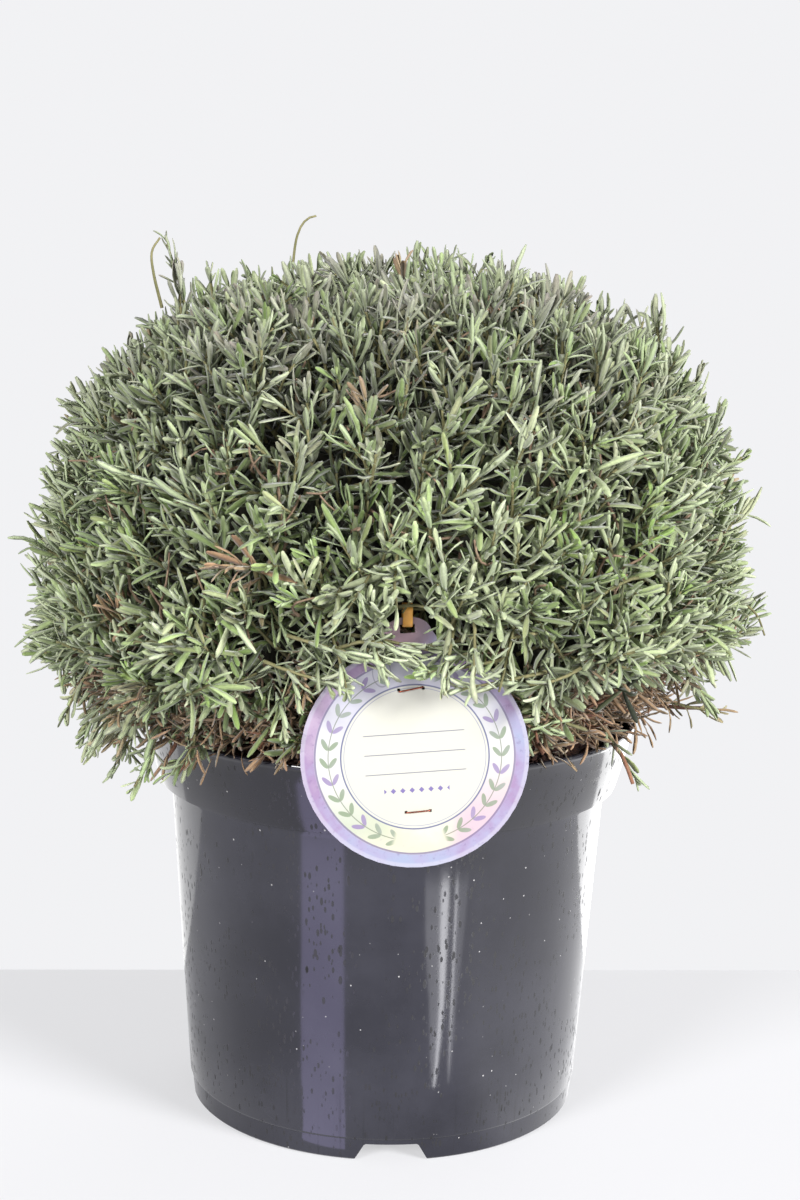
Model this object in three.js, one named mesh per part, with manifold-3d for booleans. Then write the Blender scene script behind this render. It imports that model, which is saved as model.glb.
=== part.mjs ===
// A clipped dome of lavender in a round nursery pot, with a hanging card label.
// Millimetres, +Z up. The origin is on the ground at the middle of the pot's foot, and -Y is the front.

import * as THREE from 'three';
import { mergeVertices } from 'three/addons/utils/BufferGeometryUtils.js';
import Module from 'manifold-3d';

const wasm = await Module();
wasm.setup();

// ---- Driving dimensions --------------------------------------------------------------------------

const GAP = 0.3; // between pieces that touch

const POT = {
  height: 202,
  footRadius: 100, // of the body's cone, at the ground
  bodyTopRadius: 111, // where the body meets the rim band
  bandBottom: 168,
  bandBottomRadius: 117,
  rimRadius: 126,
  wall: 2.2,
  footSetBack: 0.8, // of the standing ring, under the body's cone
  footWidth: 3.4, // of the ring that the pot stands on
  floor: 9.4, // underside of the raised floor
  sides: 24,
};

const NOTCH = { count: 4, topWidth: 25.7, bottomWidth: 35.5, height: 8.5, from: 88, to: 113 };
const DRAIN = { count: 4, ring: 72, radius: 6.5, sides: 4 };

const SOIL = { edge: 193.5, middle: 198, slack: 0.5, lumps: 1.6 };

const BUSH = {
  middle: 256, // height of the widest part
  top: 434,
  spread: 186, // radius out to the leaf tips
  tufts: 196,
};

// The dense inside of the dome, which the tufts grow from.
const CORE = {
  inset: 26, // from the leaf tips
  fullness: 2.5, // exponent of the rounded upper half
  fullnessBelow: 2.2,
  riseBelow: 47, // of the lower half
  lumps: 0.022,
  sides: 28,
  rings: 15,
};

// The lower edge of the core: high over the pot, and lower outside the rim, most of all at the left.
const SKIRT = { overPot: 229, outside: 211, drop: 14, from: 124, to: 142 };

// The hollow in the dome behind the label, as angles round the pot from the front.
const DENT = { radius: 137, halfAngle: 0.68, softAngle: 0.28, top: 316, softTop: 28 };

const LEAF = { width: 3.4, widthOnStem: 2.2, thickness: 1.8, length: 33, sunk: 6, perTuft: 5 };
const SHOOT = { rootRadius: 1.6, tipRadius: 1.4, sides: 4, leaf: 16 };
const STALK = { rootRadius: 1, tipRadius: 0.7, sides: 4, steps: 7 };

const TRUNK = { rootRadius: 9, topRadius: 6, bottom: 152, top: 213, sides: 8 };
const BRANCH = { count: 8, rootRadius: 3.4, tipRadius: 2, sides: 4, steps: 4 };
const SIDE_SHOOT = {
  rootRadius: 2.4,
  tipRadius: 1.4,
  sides: 4,
  steps: 5,
  joints: 3, // that carry a pair of dry leaves
  leaf: 17,
  droop: 0.3,
};

// The dry mat of old leaves under the dome, round the branches.
const THATCH = {
  radius: 106,
  middle: 214.5,
  halfHeight: 11.5,
  lumps: 0.05,
  sides: 20,
  rings: 6,
  leaves: 84,
  leaf: 25,
  tallest: 225, // leaf tip, under the dome
};

const LABEL = {
  x: 3.6,
  y: -150,
  z: 215.3,
  radius: 51,
  thickness: 0.8,
  turn: THREE.MathUtils.degToRad(4.6),
  tabTop: 63.5,
  tabTopHalf: 10.5,
  tabRootHalf: 16,
  slot: { from: 56.3, to: 60.3, half: 3.3 },
};

const STAPLE = { crown: 11.5, wire: 0.6, clinch: 3.2, upper: 31, lower: -25 };

const TIE = { width: 4.4, thickness: 0.9, front: -152.3, back: -142.2, bottom: 273.9, top: 284.3 };

const COLOURS = {
  pot: { color: 0x3b3a41, roughness: 0.3, metalness: 0 },
  soil: { color: 0x3a2a20, roughness: 0.95, metalness: 0 },
  wood: { color: 0x6d5140, roughness: 0.85, metalness: 0 },
  leaf: { color: 0x8b9a78, roughness: 0.75, metalness: 0 },
  card: { color: 0xe9e4ea, roughness: 0.45, metalness: 0 },
  tie: { color: 0xe9a24a, roughness: 0.4, metalness: 0 },
  staple: { color: 0x8a5a48, roughness: 0.35, metalness: 0.9 },
};

// ---- Helpers ---------------------------------------------------------------------------------------

const UP = new THREE.Vector3(0, 0, 1);
const AXIS_Y = new THREE.Vector3(0, 1, 0);
const vec = (x, y, z) => new THREE.Vector3(x, y, z);
const degrees = THREE.MathUtils.degToRad;
const { smoothstep } = THREE.MathUtils;
const GOLDEN_TURN = Math.PI * (3 - Math.sqrt(5)); // spreads things evenly round an axis

/** Seeded random numbers from 0 to 1. */
function randomFrom(seed) {
  let state = seed;
  return () => {
    state = (state + 0x6d2b79f5) | 0;
    let t = Math.imul(state ^ (state >>> 15), 1 | state);
    t = (t + Math.imul(t ^ (t >>> 7), 61 | t)) ^ t;
    return ((t ^ (t >>> 14)) >>> 0) / 4294967296;
  };
}

const between = (random, low, high) => low + (high - low) * random();

function toSolid(geometry) {
  const bare = geometry.clone();
  bare.deleteAttribute('normal');
  bare.deleteAttribute('uv');
  const merged = mergeVertices(bare, 1e-4);
  return new wasm.Manifold(
    new wasm.Mesh({
      numProp: 3,
      vertProperties: new Float32Array(merged.attributes.position.array),
      triVerts: new Uint32Array(merged.index.array),
    }),
  );
}

/** Joins solids two by two, so that the work stays even. */
function join(solids) {
  let list = solids;
  while (list.length > 1) {
    const next = [];
    for (let i = 0; i < list.length; i += 2) {
      next.push(i + 1 < list.length ? list[i].add(list[i + 1]) : list[i]);
    }
    list = next;
  }
  return list[0];
}

/** The largest body of a solid, without any loose scrap. */
function largest(solid) {
  return solid.decompose().reduce((a, b) => (a.volume() > b.volume() ? a : b));
}

function toGeometry(solid) {
  const mesh = solid.getMesh();
  const geometry = new THREE.BufferGeometry();
  geometry.setAttribute('position', new THREE.BufferAttribute(mesh.vertProperties, 3));
  geometry.setIndex(new THREE.BufferAttribute(mesh.triVerts, 1));
  geometry.computeVertexNormals();
  return geometry;
}

function piece(name, geometry, look) {
  const mesh = new THREE.Mesh(geometry, new THREE.MeshStandardMaterial(look));
  mesh.name = name;
  return mesh;
}

/** A round, tapered stem that follows a smooth curve through the points. */
function stem(points, rootRadius, tipRadius, sides, steps) {
  const curve = smooth(points);
  const frames = curve.computeFrenetFrames(steps, false);
  const geometry = new THREE.CylinderGeometry(tipRadius, rootRadius, 1, sides, steps);
  const at = geometry.attributes.position;
  for (let i = 0; i < at.count; i += 1) {
    const along = at.getY(i) + 0.5;
    const step = Math.round(along * steps);
    const place = curve.getPointAt(along);
    place.addScaledVector(frames.normals[step], at.getZ(i));
    place.addScaledVector(frames.binormals[step], at.getX(i));
    at.setXYZ(i, place.x, place.y, place.z);
  }
  return geometry;
}

/** A slim three-sided leaf from its root along a direction, turned about its own length. */
function leaf(root, direction, length, turn, width = LEAF.width) {
  const geometry = new THREE.ConeGeometry(width / Math.sqrt(3), length, 3);
  geometry.scale(1, 1, LEAF.thickness / LEAF.width);
  geometry.translate(0, length / 2, 0);
  geometry.rotateY(turn);
  geometry.applyQuaternion(new THREE.Quaternion().setFromUnitVectors(AXIS_Y, direction));
  geometry.translate(root.x, root.y, root.z);
  return geometry;
}

/** Spaces that no leaf enters: the hanging card and the loop of its tie. */
const LABEL_SPACE = [
  new THREE.Box3(vec(-50, -152.2, 160), vec(58, -147.8, 281)),
  new THREE.Box3(vec(-6, -155, 271), vec(5, -139, 287)),
];
/** In front of the card the dome's leaves stay out as well, so that its face shows below its top edge. */
const LABEL_SIGHT = [
  new THREE.Box3(vec(-50, -205, 160), vec(57, -141, 258)),
  new THREE.Box3(vec(-34, -158, 255), vec(41, -141, 284)),
];

/** Whether a leaf stays out of these boxes and clear of the pot. */
function isClear(root, direction, length, boxes) {
  for (let step = 0; step <= 10; step += 1) {
    const point = root.clone().addScaledVector(direction, (length * step) / 10);
    if (boxes.some((box) => box.containsPoint(point))) return false;
    if (point.z < POT.height + 3 && Math.hypot(point.x, point.y) < POT.rimRadius + 3) return false;
  }
  return true;
}

/** Whether a leaf of the dome stays out of the open space over the rim, where the dry shoots are. */
function isOffTheSkirt(root, direction, length) {
  const tip = root.clone().addScaledVector(direction, length);
  return tip.z > 222 || Math.hypot(tip.x, tip.y) > 143;
}

const smooth = (points) => new THREE.CatmullRomCurve3(points, false, 'centripetal');

/** Leaves in pairs at a stem's last joints, each pair turned a quarter round from the one below. */
function pairedLeaves(points, steps, joints, length, droop) {
  const curve = smooth(points);
  const leaves = [];
  for (let joint = steps - joints + 1; joint <= steps; joint += 1) {
    const ahead = curve.getTangentAt(joint / steps);
    const atTip = joint === steps;
    for (const side of [0, Math.PI]) {
      const bearing = side + (joint * Math.PI) / 2 + between(random, -0.3, 0.3);
      const direction = leaning(ahead, between(random, 0.55, 0.85) - (atTip ? 0.25 : 0), bearing);
      direction.z -= droop;
      direction.normalize();
      const root = curve.getPointAt(joint / steps).addScaledVector(ahead, atTip ? -1.4 : 0);
      const long = length * between(random, 0.85, 1.1);
      if (isClear(root, direction, long, LABEL_SPACE)) {
        leaves.push(leaf(root, direction, long, random() * 2, LEAF.widthOnStem));
      }
    }
  }
  return leaves;
}

/** Gentle lumps, from -1 to 1, for a direction from a form's middle. */
function lumps(d) {
  return (
    Math.sin(d.x * 7 + 1.3) * Math.cos(d.y * 6 - 0.4)
    + Math.sin(d.z * 9 + d.x * 5) * 0.7
    + Math.cos(d.y * 11 + d.z * 4 + 2) * 0.5
  ) / 2.2;
}

/** Any unit vector square to this one. */
function sideOf(axis) {
  const helper = Math.abs(axis.z) < 0.9 ? UP : vec(1, 0, 0);
  return new THREE.Vector3().crossVectors(axis, helper).normalize();
}

/** A direction that leans away from an axis by an angle, at a bearing round it. */
function leaning(axis, angle, bearing) {
  const side = sideOf(axis).applyAxisAngle(axis, bearing);
  return axis.clone().multiplyScalar(Math.cos(angle)).addScaledVector(side, Math.sin(angle));
}

// ---- Pot -------------------------------------------------------------------------------------------

const bodyRadius = (z) => POT.footRadius
  + ((POT.bodyTopRadius - POT.footRadius) * z) / POT.bandBottom;

/** Inside radius of the pot: it follows the body up to the shoulder, then flares straight to the rim. */
function insideRadius(z) {
  const shoulder = POT.bandBottom - POT.wall;
  if (z <= shoulder) return bodyRadius(z) - POT.wall;
  const [low, high] = [bodyRadius(shoulder) - POT.wall, POT.rimRadius - POT.wall];
  return THREE.MathUtils.mapLinear(z, shoulder, POT.height, low, high);
}

function lathe(profile, sides) {
  const geometry = new THREE.LatheGeometry(profile.map(([r, z]) => new THREE.Vector2(r, z)), sides);
  geometry.rotateX(Math.PI / 2);
  return geometry;
}

function potGeometry() {
  const { height, wall, bandBottom, bandBottomRadius, rimRadius, footSetBack, footWidth, floor } = POT;
  const footOuter = bodyRadius(0) - footSetBack;
  const profile = [
    [0, floor],
    [footOuter - footWidth, floor],
    [footOuter - footWidth, 0],
    [footOuter, 0],
    [bodyRadius(bandBottom), bandBottom],
    [bandBottomRadius, bandBottom],
    [rimRadius, height],
    [insideRadius(height), height],
    [insideRadius(bandBottom - wall), bandBottom - wall],
    [insideRadius(floor + wall), floor + wall],
    [0, floor + wall],
  ];
  const cuts = [];
  const notchShape = new THREE.Shape([
    new THREE.Vector2(-NOTCH.bottomWidth / 2, -1),
    new THREE.Vector2(NOTCH.bottomWidth / 2, -1),
    new THREE.Vector2(NOTCH.topWidth / 2, NOTCH.height),
    new THREE.Vector2(-NOTCH.topWidth / 2, NOTCH.height),
  ]);
  for (let i = 0; i < NOTCH.count; i += 1) {
    const cut = new THREE.ExtrudeGeometry(notchShape, { depth: NOTCH.to - NOTCH.from, bevelEnabled: false });
    cut.rotateX(Math.PI / 2);
    cut.translate(0, -NOTCH.from, 0);
    cut.rotateZ((i * 2 * Math.PI) / NOTCH.count);
    cuts.push(toSolid(cut));
  }
  for (let i = 0; i < DRAIN.count; i += 1) {
    const angle = ((i + 0.5) * 2 * Math.PI) / DRAIN.count;
    const hole = new THREE.CylinderGeometry(DRAIN.radius, DRAIN.radius, 4 * wall, DRAIN.sides);
    hole.rotateX(Math.PI / 2);
    hole.translate(DRAIN.ring * Math.cos(angle), DRAIN.ring * Math.sin(angle), floor + wall / 2);
    cuts.push(toSolid(hole));
  }
  return toGeometry(toSolid(lathe(profile, POT.sides)).subtract(join(cuts)));
}

// ---- Stems -----------------------------------------------------------------------------------------

const random = randomFrom(2207);

/** A bearing and a reach for each main branch, in an uneven ring round the trunk. */
const branches = Array.from({ length: BRANCH.count }, (_, i) => {
  const bearing = ((i + between(random, -0.22, 0.22)) * 2 * Math.PI) / BRANCH.count;
  const reach = between(random, 82, 104);
  const out = (r, z) => vec(r * Math.cos(bearing), r * Math.sin(bearing), z);
  return { bearing, points: [out(2, 203), out(18, 212), out(reach * 0.62, 220), out(reach, 246)] };
});

/** Low, dry side shoots that lean out over the rim: bearing, then [radius, height] along each. */
const SIDE_SHOOTS = [
  { bearing: -7, reach: [[60, 208], [112, 214], [140, 208], [168, 208]] },
  { bearing: -40, reach: [[60, 207], [108, 213], [134, 206], [148, 186]] },
  { bearing: -62, reach: [[55, 207], [98, 213], [122, 215], [138, 210]] },
  { bearing: -118, reach: [[55, 207], [98, 213], [124, 216], [140, 212]] },
  { bearing: -141, reach: [[60, 207], [104, 213], [130, 211], [141, 196]] },
  { bearing: 172, reach: [[60, 208], [106, 214], [130, 211], [142, 190]] },
  { bearing: 128, reach: [[55, 207], [100, 213], [126, 214], [142, 204]] },
  { bearing: 64, reach: [[55, 207], [100, 213], [126, 214], [143, 204]] },
];

function branchStems(extra) {
  const { rootRadius, tipRadius, sides, steps } = BRANCH;
  return branches.map(({ points }) => stem(points, rootRadius + extra, tipRadius + extra, sides, steps));
}

function trunkGeometry(extra) {
  return stem(
    [vec(2, 1, TRUNK.bottom - extra), vec(0, 0, 184), vec(1, 0, TRUNK.top)],
    TRUNK.rootRadius + extra,
    TRUNK.topRadius + extra,
    TRUNK.sides,
    3,
  );
}

function shootPoints({ bearing, reach }) {
  const angle = degrees(bearing);
  const path = [[2, 207], ...reach];
  return path.map(([r, z]) => vec(r * Math.cos(angle), r * Math.sin(angle), z));
}

/** The mat's surface in a direction from its middle. */
function thatchPoint(direction) {
  const across = THATCH.radius * (1 + THATCH.lumps * lumps(direction));
  return vec(direction.x * across, direction.y * across, THATCH.middle + direction.z * THATCH.halfHeight);
}

function thatchGeometry() {
  const geometry = new THREE.SphereGeometry(1, THATCH.sides, THATCH.rings);
  geometry.rotateX(Math.PI / 2);
  const at = geometry.attributes.position;
  for (let i = 0; i < at.count; i += 1) {
    const point = thatchPoint(vec(at.getX(i), at.getY(i), at.getZ(i)).normalize());
    at.setXYZ(i, point.x, point.y, point.z);
  }
  return geometry;
}

/** Dry leaves that stand out all round the mat. */
function thatchLeaves() {
  const leaves = [];
  for (let i = 0; i < THATCH.leaves; i += 1) {
    const bearing = i * GOLDEN_TURN;
    const height = between(random, -0.35, 0.6);
    const across = Math.sqrt(1 - height * height);
    const outward = vec(Math.cos(bearing), Math.sin(bearing), 0);
    const root = thatchPoint(vec(across * outward.x, across * outward.y, height));
    const direction = outward.clone().applyAxisAngle(UP, between(random, -0.9, 0.9));
    direction.z = between(random, -0.45, 0.4);
    direction.normalize();
    root.addScaledVector(outward, -LEAF.sunk);
    const length = THATCH.leaf * between(random, 0.8, 1.15);
    const tip = root.z + direction.z * length;
    if (tip < THATCH.tallest && isClear(root, direction, length, LABEL_SPACE)) {
      leaves.push(leaf(root, direction, length, random() * 2));
    }
  }
  return leaves;
}

function woodySolid() {
  const parts = [trunkGeometry(0), ...branchStems(0), thatchGeometry(), ...thatchLeaves()];
  for (const shoot of SIDE_SHOOTS) {
    const points = shootPoints(shoot);
    const { rootRadius, tipRadius, sides, steps, joints, leaf: length, droop } = SIDE_SHOOT;
    parts.push(stem(points, rootRadius, tipRadius, sides, steps));
    parts.push(...pairedLeaves(points, steps, joints, length, droop));
  }
  return join(parts.map(toSolid));
}

// ---- Soil ------------------------------------------------------------------------------------------

function soilGeometry() {
  const bottom = POT.floor + POT.wall + GAP;
  const profile = [[0, bottom]];
  for (const z of [bottom, POT.bandBottom - POT.wall, SOIL.edge]) {
    profile.push([insideRadius(z) - SOIL.slack, z]);
  }
  for (const [share, rise] of [[0.9, 0.15], [0.7, 0.45], [0.5, 0.75], [0.28, 0.95]]) {
    profile.push([share * insideRadius(SOIL.edge), SOIL.edge + rise * (SOIL.middle - SOIL.edge)]);
  }
  profile.push([0, SOIL.middle]);
  const geometry = lathe(profile, POT.sides);
  const at = geometry.attributes.position;
  for (let i = 0; i < at.count; i += 1) {
    const [x, y, z] = [at.getX(i), at.getY(i), at.getZ(i)];
    if (z > SOIL.edge + 0.5) {
      const lump = Math.sin(x * 0.11 + 1) * Math.cos(y * 0.13) + Math.sin((x + y) * 0.21);
      at.setZ(i, z + (SOIL.lumps * lump) / 2);
    }
  }
  return toGeometry(toSolid(geometry).subtract(toSolid(trunkGeometry(GAP + 0.2))));
}

// ---- Foliage ---------------------------------------------------------------------------------------

/** How far the dome is dented behind the label, from 0 to 1. */
function labelDent(bearing, z) {
  const aside = Math.acos(THREE.MathUtils.clamp(-Math.sin(bearing), -1, 1));
  return smoothstep(DENT.halfAngle - aside, 0, DENT.softAngle) * smoothstep(DENT.top - z, 0, DENT.softTop);
}

/** How far the skirt hangs lower than at the front, from 0 to 1: most at the left. */
function skirtDrop(bearing) {
  return smoothstep(-Math.cos(bearing), -0.1, 0.95);
}

/** The core's surface in a direction from the middle of the dome. */
function corePoint(direction) {
  const bearing = Math.atan2(direction.y, direction.x);
  const isUpper = direction.z > 0;
  const reach = BUSH.spread - CORE.inset;
  const riseBelow = CORE.riseBelow + SKIRT.drop * skirtDrop(bearing);
  const rise = isUpper ? BUSH.top - BUSH.middle - CORE.inset : riseBelow;
  const power = isUpper ? CORE.fullness : CORE.fullnessBelow;
  const across = Math.hypot(direction.x, direction.y);
  const size = ((across / reach) ** power + (Math.abs(direction.z) / rise) ** power) ** (-1 / power);
  const point = direction.clone().multiplyScalar(size * (1 + CORE.lumps * lumps(direction)));
  point.z += BUSH.middle;
  const dent = labelDent(bearing, point.z) * Math.max(0, Math.hypot(point.x, point.y) - DENT.radius);
  point.addScaledVector(vec(direction.x, direction.y, 0).normalize(), -dent);
  if (direction.z < 0) point.z = Math.max(point.z, underside(Math.hypot(point.x, point.y), bearing));
  return point;
}

/** The lowest that the core may hang: clear of the pot's rim, and lower only outside it. */
function underside(radius, bearing) {
  const low = SKIRT.outside - SKIRT.drop * skirtDrop(bearing);
  return THREE.MathUtils.lerp(SKIRT.overPot, low, smoothstep(radius, SKIRT.from, SKIRT.to));
}

function coreNormal(direction) {
  const side = sideOf(direction);
  const other = new THREE.Vector3().crossVectors(direction, side);
  const step = 0.02;
  const a = corePoint(direction.clone().addScaledVector(side, step).normalize());
  const b = corePoint(direction.clone().addScaledVector(other, step).normalize());
  const here = corePoint(direction);
  return new THREE.Vector3().crossVectors(a.sub(here), b.sub(here)).normalize();
}

function coreGeometry() {
  const geometry = new THREE.SphereGeometry(1, CORE.sides, CORE.rings);
  geometry.rotateX(Math.PI / 2);
  const at = geometry.attributes.position;
  for (let i = 0; i < at.count; i += 1) {
    const point = corePoint(vec(at.getX(i), at.getY(i), at.getZ(i)).normalize());
    at.setXYZ(i, point.x, point.y, point.z);
  }
  return geometry;
}

/** A rosette of leaves round one axis. One leaf stands nearly along it, and the rest spread. */
function tuft(root, axis, count, length) {
  const start = random() * 2 * Math.PI;
  const leaves = [];
  for (let i = 0; i < count; i += 1) {
    const spread = i === 0 ? 0.16 : between(random, 0.6, 0.95);
    const bearing = start + (i * 2 * Math.PI) / (count - 1) + between(random, -0.25, 0.25);
    const direction = leaning(axis, spread, bearing);
    const long = length * between(random, 0.82, 1.12);
    const boxes = [...LABEL_SPACE, ...LABEL_SIGHT];
    if (isClear(root, direction, long, boxes) && isOffTheSkirt(root, direction, long)) {
      leaves.push(leaf(root, direction, long, random() * 2));
    }
  }
  return leaves;
}

/** Tufts spread evenly over the dome, leaning up on its flanks and hanging at its skirt. */
function domeTufts() {
  const leaves = [];
  const lowest = -0.34; // height of the lowest tuft's direction
  const skirtFrom = -0.12; // the tufts below this hang
  for (let i = 0; i < BUSH.tufts; i += 1) {
    const height = 1 - ((i + 0.5) / BUSH.tufts) * (1 - lowest);
    const across = Math.sqrt(1 - height * height);
    const bearing = i * GOLDEN_TURN;
    const direction = vec(across * Math.cos(bearing), across * Math.sin(bearing), height);
    const normal = coreNormal(direction);
    const lift = height > skirtFrom ? 0.32 : -0.3;
    const axis = normal.clone().addScaledVector(UP, lift).normalize();
    const root = corePoint(direction).addScaledVector(normal, -LEAF.sunk);
    leaves.push(...tuft(root, axis, LEAF.perTuft, LEAF.length));
  }
  return leaves;
}

/** Shoots that stand out of the dome or hang from its skirt, with leaf pairs at their last joints. */
const SHOOTS = [
  { points: [[-98, -6, 374], [-110, -6, 410], [-114, -7, 426]], joints: 4 },
  { points: [[-84, -30, 380], [-92, -33, 416]], joints: 3 },
  { points: [[112, -10, 358], [129, -12, 388]], joints: 2 },
  { points: [[-128, -52, 232], [-143, -60, 216], [-146, -64, 196]], joints: 4 },
  { points: [[-134, -8, 228], [-150, -9, 208], [-151, -9, 182]], joints: 4 },
  { points: [[-124, 60, 228], [-139, 66, 208], [-140, 67, 182]], joints: 4 },
  { points: [[-56, 122, 236], [-67, 143, 218], [-69, 149, 200]], joints: 3 },
  { points: [[56, 122, 238], [67, 146, 220], [70, 152, 204]], joints: 3 },
  { points: [[126, 62, 238], [146, 74, 222], [152, 78, 206]], joints: 3 },
  { points: [[140, -32, 240], [158, -38, 222], [164, -40, 208]], joints: 3 },
  // The twig that carries the label's tie, and the shoot that hangs over the top of the card.
  { points: [[-26, -134, 284], [-12, -143.6, 282], [-1, -146.4, 281.6], [10, -147.4, 282], [24, -153, 287]],
    joints: 1 },
  { points: [[30, -136, 296], [24, -152, 286], [14, -157, 268]], joints: 2 },
];

/** Thin bare stalks from old flower heads. */
const STALKS = [
  [[-54, 0, 396], [-52, 0, 428], [-50, 0, 441], [-46, 0, 448], [-41, 0, 450]],
  [[150, 0, 262], [178, 0, 259], [190, 0, 250], [193, 0, 241]],
];

function foliageSolid() {
  const parts = [coreGeometry(), ...domeTufts()];
  for (const shoot of SHOOTS) {
    const points = shoot.points.map(([x, y, z]) => vec(x, y, z));
    const steps = shoot.joints + 2;
    parts.push(stem(points, SHOOT.rootRadius, SHOOT.tipRadius, SHOOT.sides, steps));
    parts.push(...pairedLeaves(points, steps, shoot.joints, SHOOT.leaf, 0));
  }
  for (const stalk of STALKS) {
    const { rootRadius, tipRadius, sides, steps } = STALK;
    parts.push(stem(stalk.map(([x, y, z]) => vec(x, y, z)), rootRadius, tipRadius, sides, steps));
  }
  const sockets = branchStems(GAP + 0.15).map(toSolid);
  return largest(join(parts.map(toSolid)).subtract(join(sockets)));
}

// ---- Label -----------------------------------------------------------------------------------------

/** The round card with its hanging tab, seen from the front: x to the right, y up. */
function labelOutline() {
  const { radius, tabTop, tabTopHalf, tabRootHalf } = LABEL;
  const rootAngle = Math.acos(tabRootHalf / radius);
  const shape = new THREE.Shape();
  shape.absarc(0, 0, radius, Math.PI - rootAngle, rootAngle, false);
  const shoulder = tabTop - tabTopHalf * 0.6;
  shape.lineTo(tabTopHalf, shoulder);
  shape.quadraticCurveTo(tabTopHalf * 0.8, tabTop, 0, tabTop);
  shape.quadraticCurveTo(-tabTopHalf * 0.8, tabTop, -tabTopHalf, shoulder);
  shape.closePath();
  return shape;
}

/** A square-cornered cutter through the card. */
function cardCutter(x, y, width, height) {
  const box = new THREE.BoxGeometry(width, height, 4 * LABEL.thickness);
  box.translate(x, y, 0);
  return toSolid(box);
}

function labelGeometry() {
  const geometry = new THREE.ExtrudeGeometry(labelOutline(), {
    depth: LABEL.thickness,
    bevelEnabled: false,
    curveSegments: 22,
  });
  geometry.translate(0, 0, -LABEL.thickness / 2);
  const { from, to, half } = LABEL.slot;
  const cuts = [cardCutter(0, (from + to) / 2, 2 * half, to - from)];
  const leg = (STAPLE.crown - STAPLE.wire) / 2;
  for (const height of [STAPLE.upper, STAPLE.lower]) {
    for (const side of [-1, 1]) cuts.push(cardCutter(side * leg, height, 1.3, 1.3));
  }
  return toGeometry(toSolid(geometry).subtract(join(cuts)));
}

/** A wire staple through the card, its legs bent in behind: drawn from above, then given its wire. */
function stapleGeometry(height) {
  const { crown, wire, clinch } = STAPLE;
  const face = LABEL.thickness / 2 + GAP;
  const half = crown / 2;
  const shape = new THREE.Shape([
    new THREE.Vector2(-half, face + wire),
    new THREE.Vector2(-half, -face - wire),
    new THREE.Vector2(-half + clinch, -face - wire),
    new THREE.Vector2(-half + clinch, -face),
    new THREE.Vector2(-half + wire, -face),
    new THREE.Vector2(-half + wire, face),
    new THREE.Vector2(half - wire, face),
    new THREE.Vector2(half - wire, -face),
    new THREE.Vector2(half - clinch, -face),
    new THREE.Vector2(half - clinch, -face - wire),
    new THREE.Vector2(half, -face - wire),
    new THREE.Vector2(half, face + wire),
  ]);
  const geometry = new THREE.ExtrudeGeometry(shape, { depth: wire, bevelEnabled: false });
  geometry.translate(0, 0, -wire / 2);
  geometry.rotateX(Math.PI / 2);
  geometry.translate(0, height, 0);
  return geometry;
}

/** The strap's closed loop: through the slot, up both sides and over the twig. */
function tieGeometry() {
  const { width, thickness, front, back, bottom, top } = TIE;
  const loop = (inset, path) => {
    const corner = 3 - inset;
    const [low, high] = [bottom + inset, top - inset];
    const [near, far] = [front + inset, back - inset];
    path.absarc(near + corner, low + corner, corner, Math.PI, 1.5 * Math.PI, false);
    path.absarc(far - corner, low + corner, corner, 1.5 * Math.PI, 2 * Math.PI, false);
    path.absarc(far - corner, high - corner, corner, 0, 0.5 * Math.PI, false);
    path.absarc(near + corner, high - corner, corner, 0.5 * Math.PI, Math.PI, false);
    path.closePath();
    return path;
  };
  const shape = loop(0, new THREE.Shape());
  shape.holes.push(loop(thickness, new THREE.Path()));
  const geometry = new THREE.ExtrudeGeometry(shape, {
    depth: width,
    bevelEnabled: false,
    curveSegments: 3,
  });
  geometry.translate(0, 0, -width / 2);
  geometry.rotateY(Math.PI / 2);
  geometry.rotateX(Math.PI / 2);
  return geometry;
}

function labelGroup() {
  const group = new THREE.Group();
  group.position.set(LABEL.x, LABEL.y, LABEL.z);
  group.rotation.set(Math.PI / 2, 0, 0);
  const turned = new THREE.Group();
  turned.rotation.z = LABEL.turn;
  turned.add(piece('label', labelGeometry(), COLOURS.card));
  turned.add(piece('label_staple_upper', stapleGeometry(STAPLE.upper), COLOURS.staple));
  turned.add(piece('label_staple_lower', stapleGeometry(STAPLE.lower), COLOURS.staple));
  group.add(turned);
  return group;
}

// ---- The whole plant ---------------------------------------------------------------------------------

const plant = new THREE.Group();
plant.add(piece('pot', potGeometry(), COLOURS.pot));
plant.add(piece('soil', soilGeometry(), COLOURS.soil));
plant.add(piece('woody_stems', toGeometry(woodySolid()), COLOURS.wood));
plant.add(piece('foliage', toGeometry(foliageSolid()), COLOURS.leaf));
plant.add(labelGroup());

const tie = piece('label_tie', tieGeometry(), COLOURS.tie);
const slotMiddle = (LABEL.slot.from + LABEL.slot.to) / 2;
tie.position.x = LABEL.x - slotMiddle * Math.sin(LABEL.turn);
plant.add(tie);

export default plant;
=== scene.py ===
"""A clipped dome of lavender in a dark nursery pot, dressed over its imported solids.

Lengths are in millimetres until a mesh is made, where MM turns them into metres. The pot's axis is z,
its foot stands on z = 0, and -y is the front, where the card label hangs.
"""

import math

import bmesh
import bpy
import numpy as np
from mathutils import Matrix, Vector, kdtree


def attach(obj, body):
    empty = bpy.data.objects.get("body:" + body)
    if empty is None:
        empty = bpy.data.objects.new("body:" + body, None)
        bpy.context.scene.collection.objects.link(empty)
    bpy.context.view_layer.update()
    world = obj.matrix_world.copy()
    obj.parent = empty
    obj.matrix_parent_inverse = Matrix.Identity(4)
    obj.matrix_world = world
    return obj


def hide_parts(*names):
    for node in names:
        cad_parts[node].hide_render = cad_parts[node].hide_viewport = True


MM = 0.001
UP, RIGHT = np.array([0.0, 0.0, 1.0]), np.array([1.0, 0.0, 0.0])
ROUND = 2 * math.pi
QUARTER = ROUND / 4
GOLDEN_TURN = math.pi * (3 - math.sqrt(5))

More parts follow.
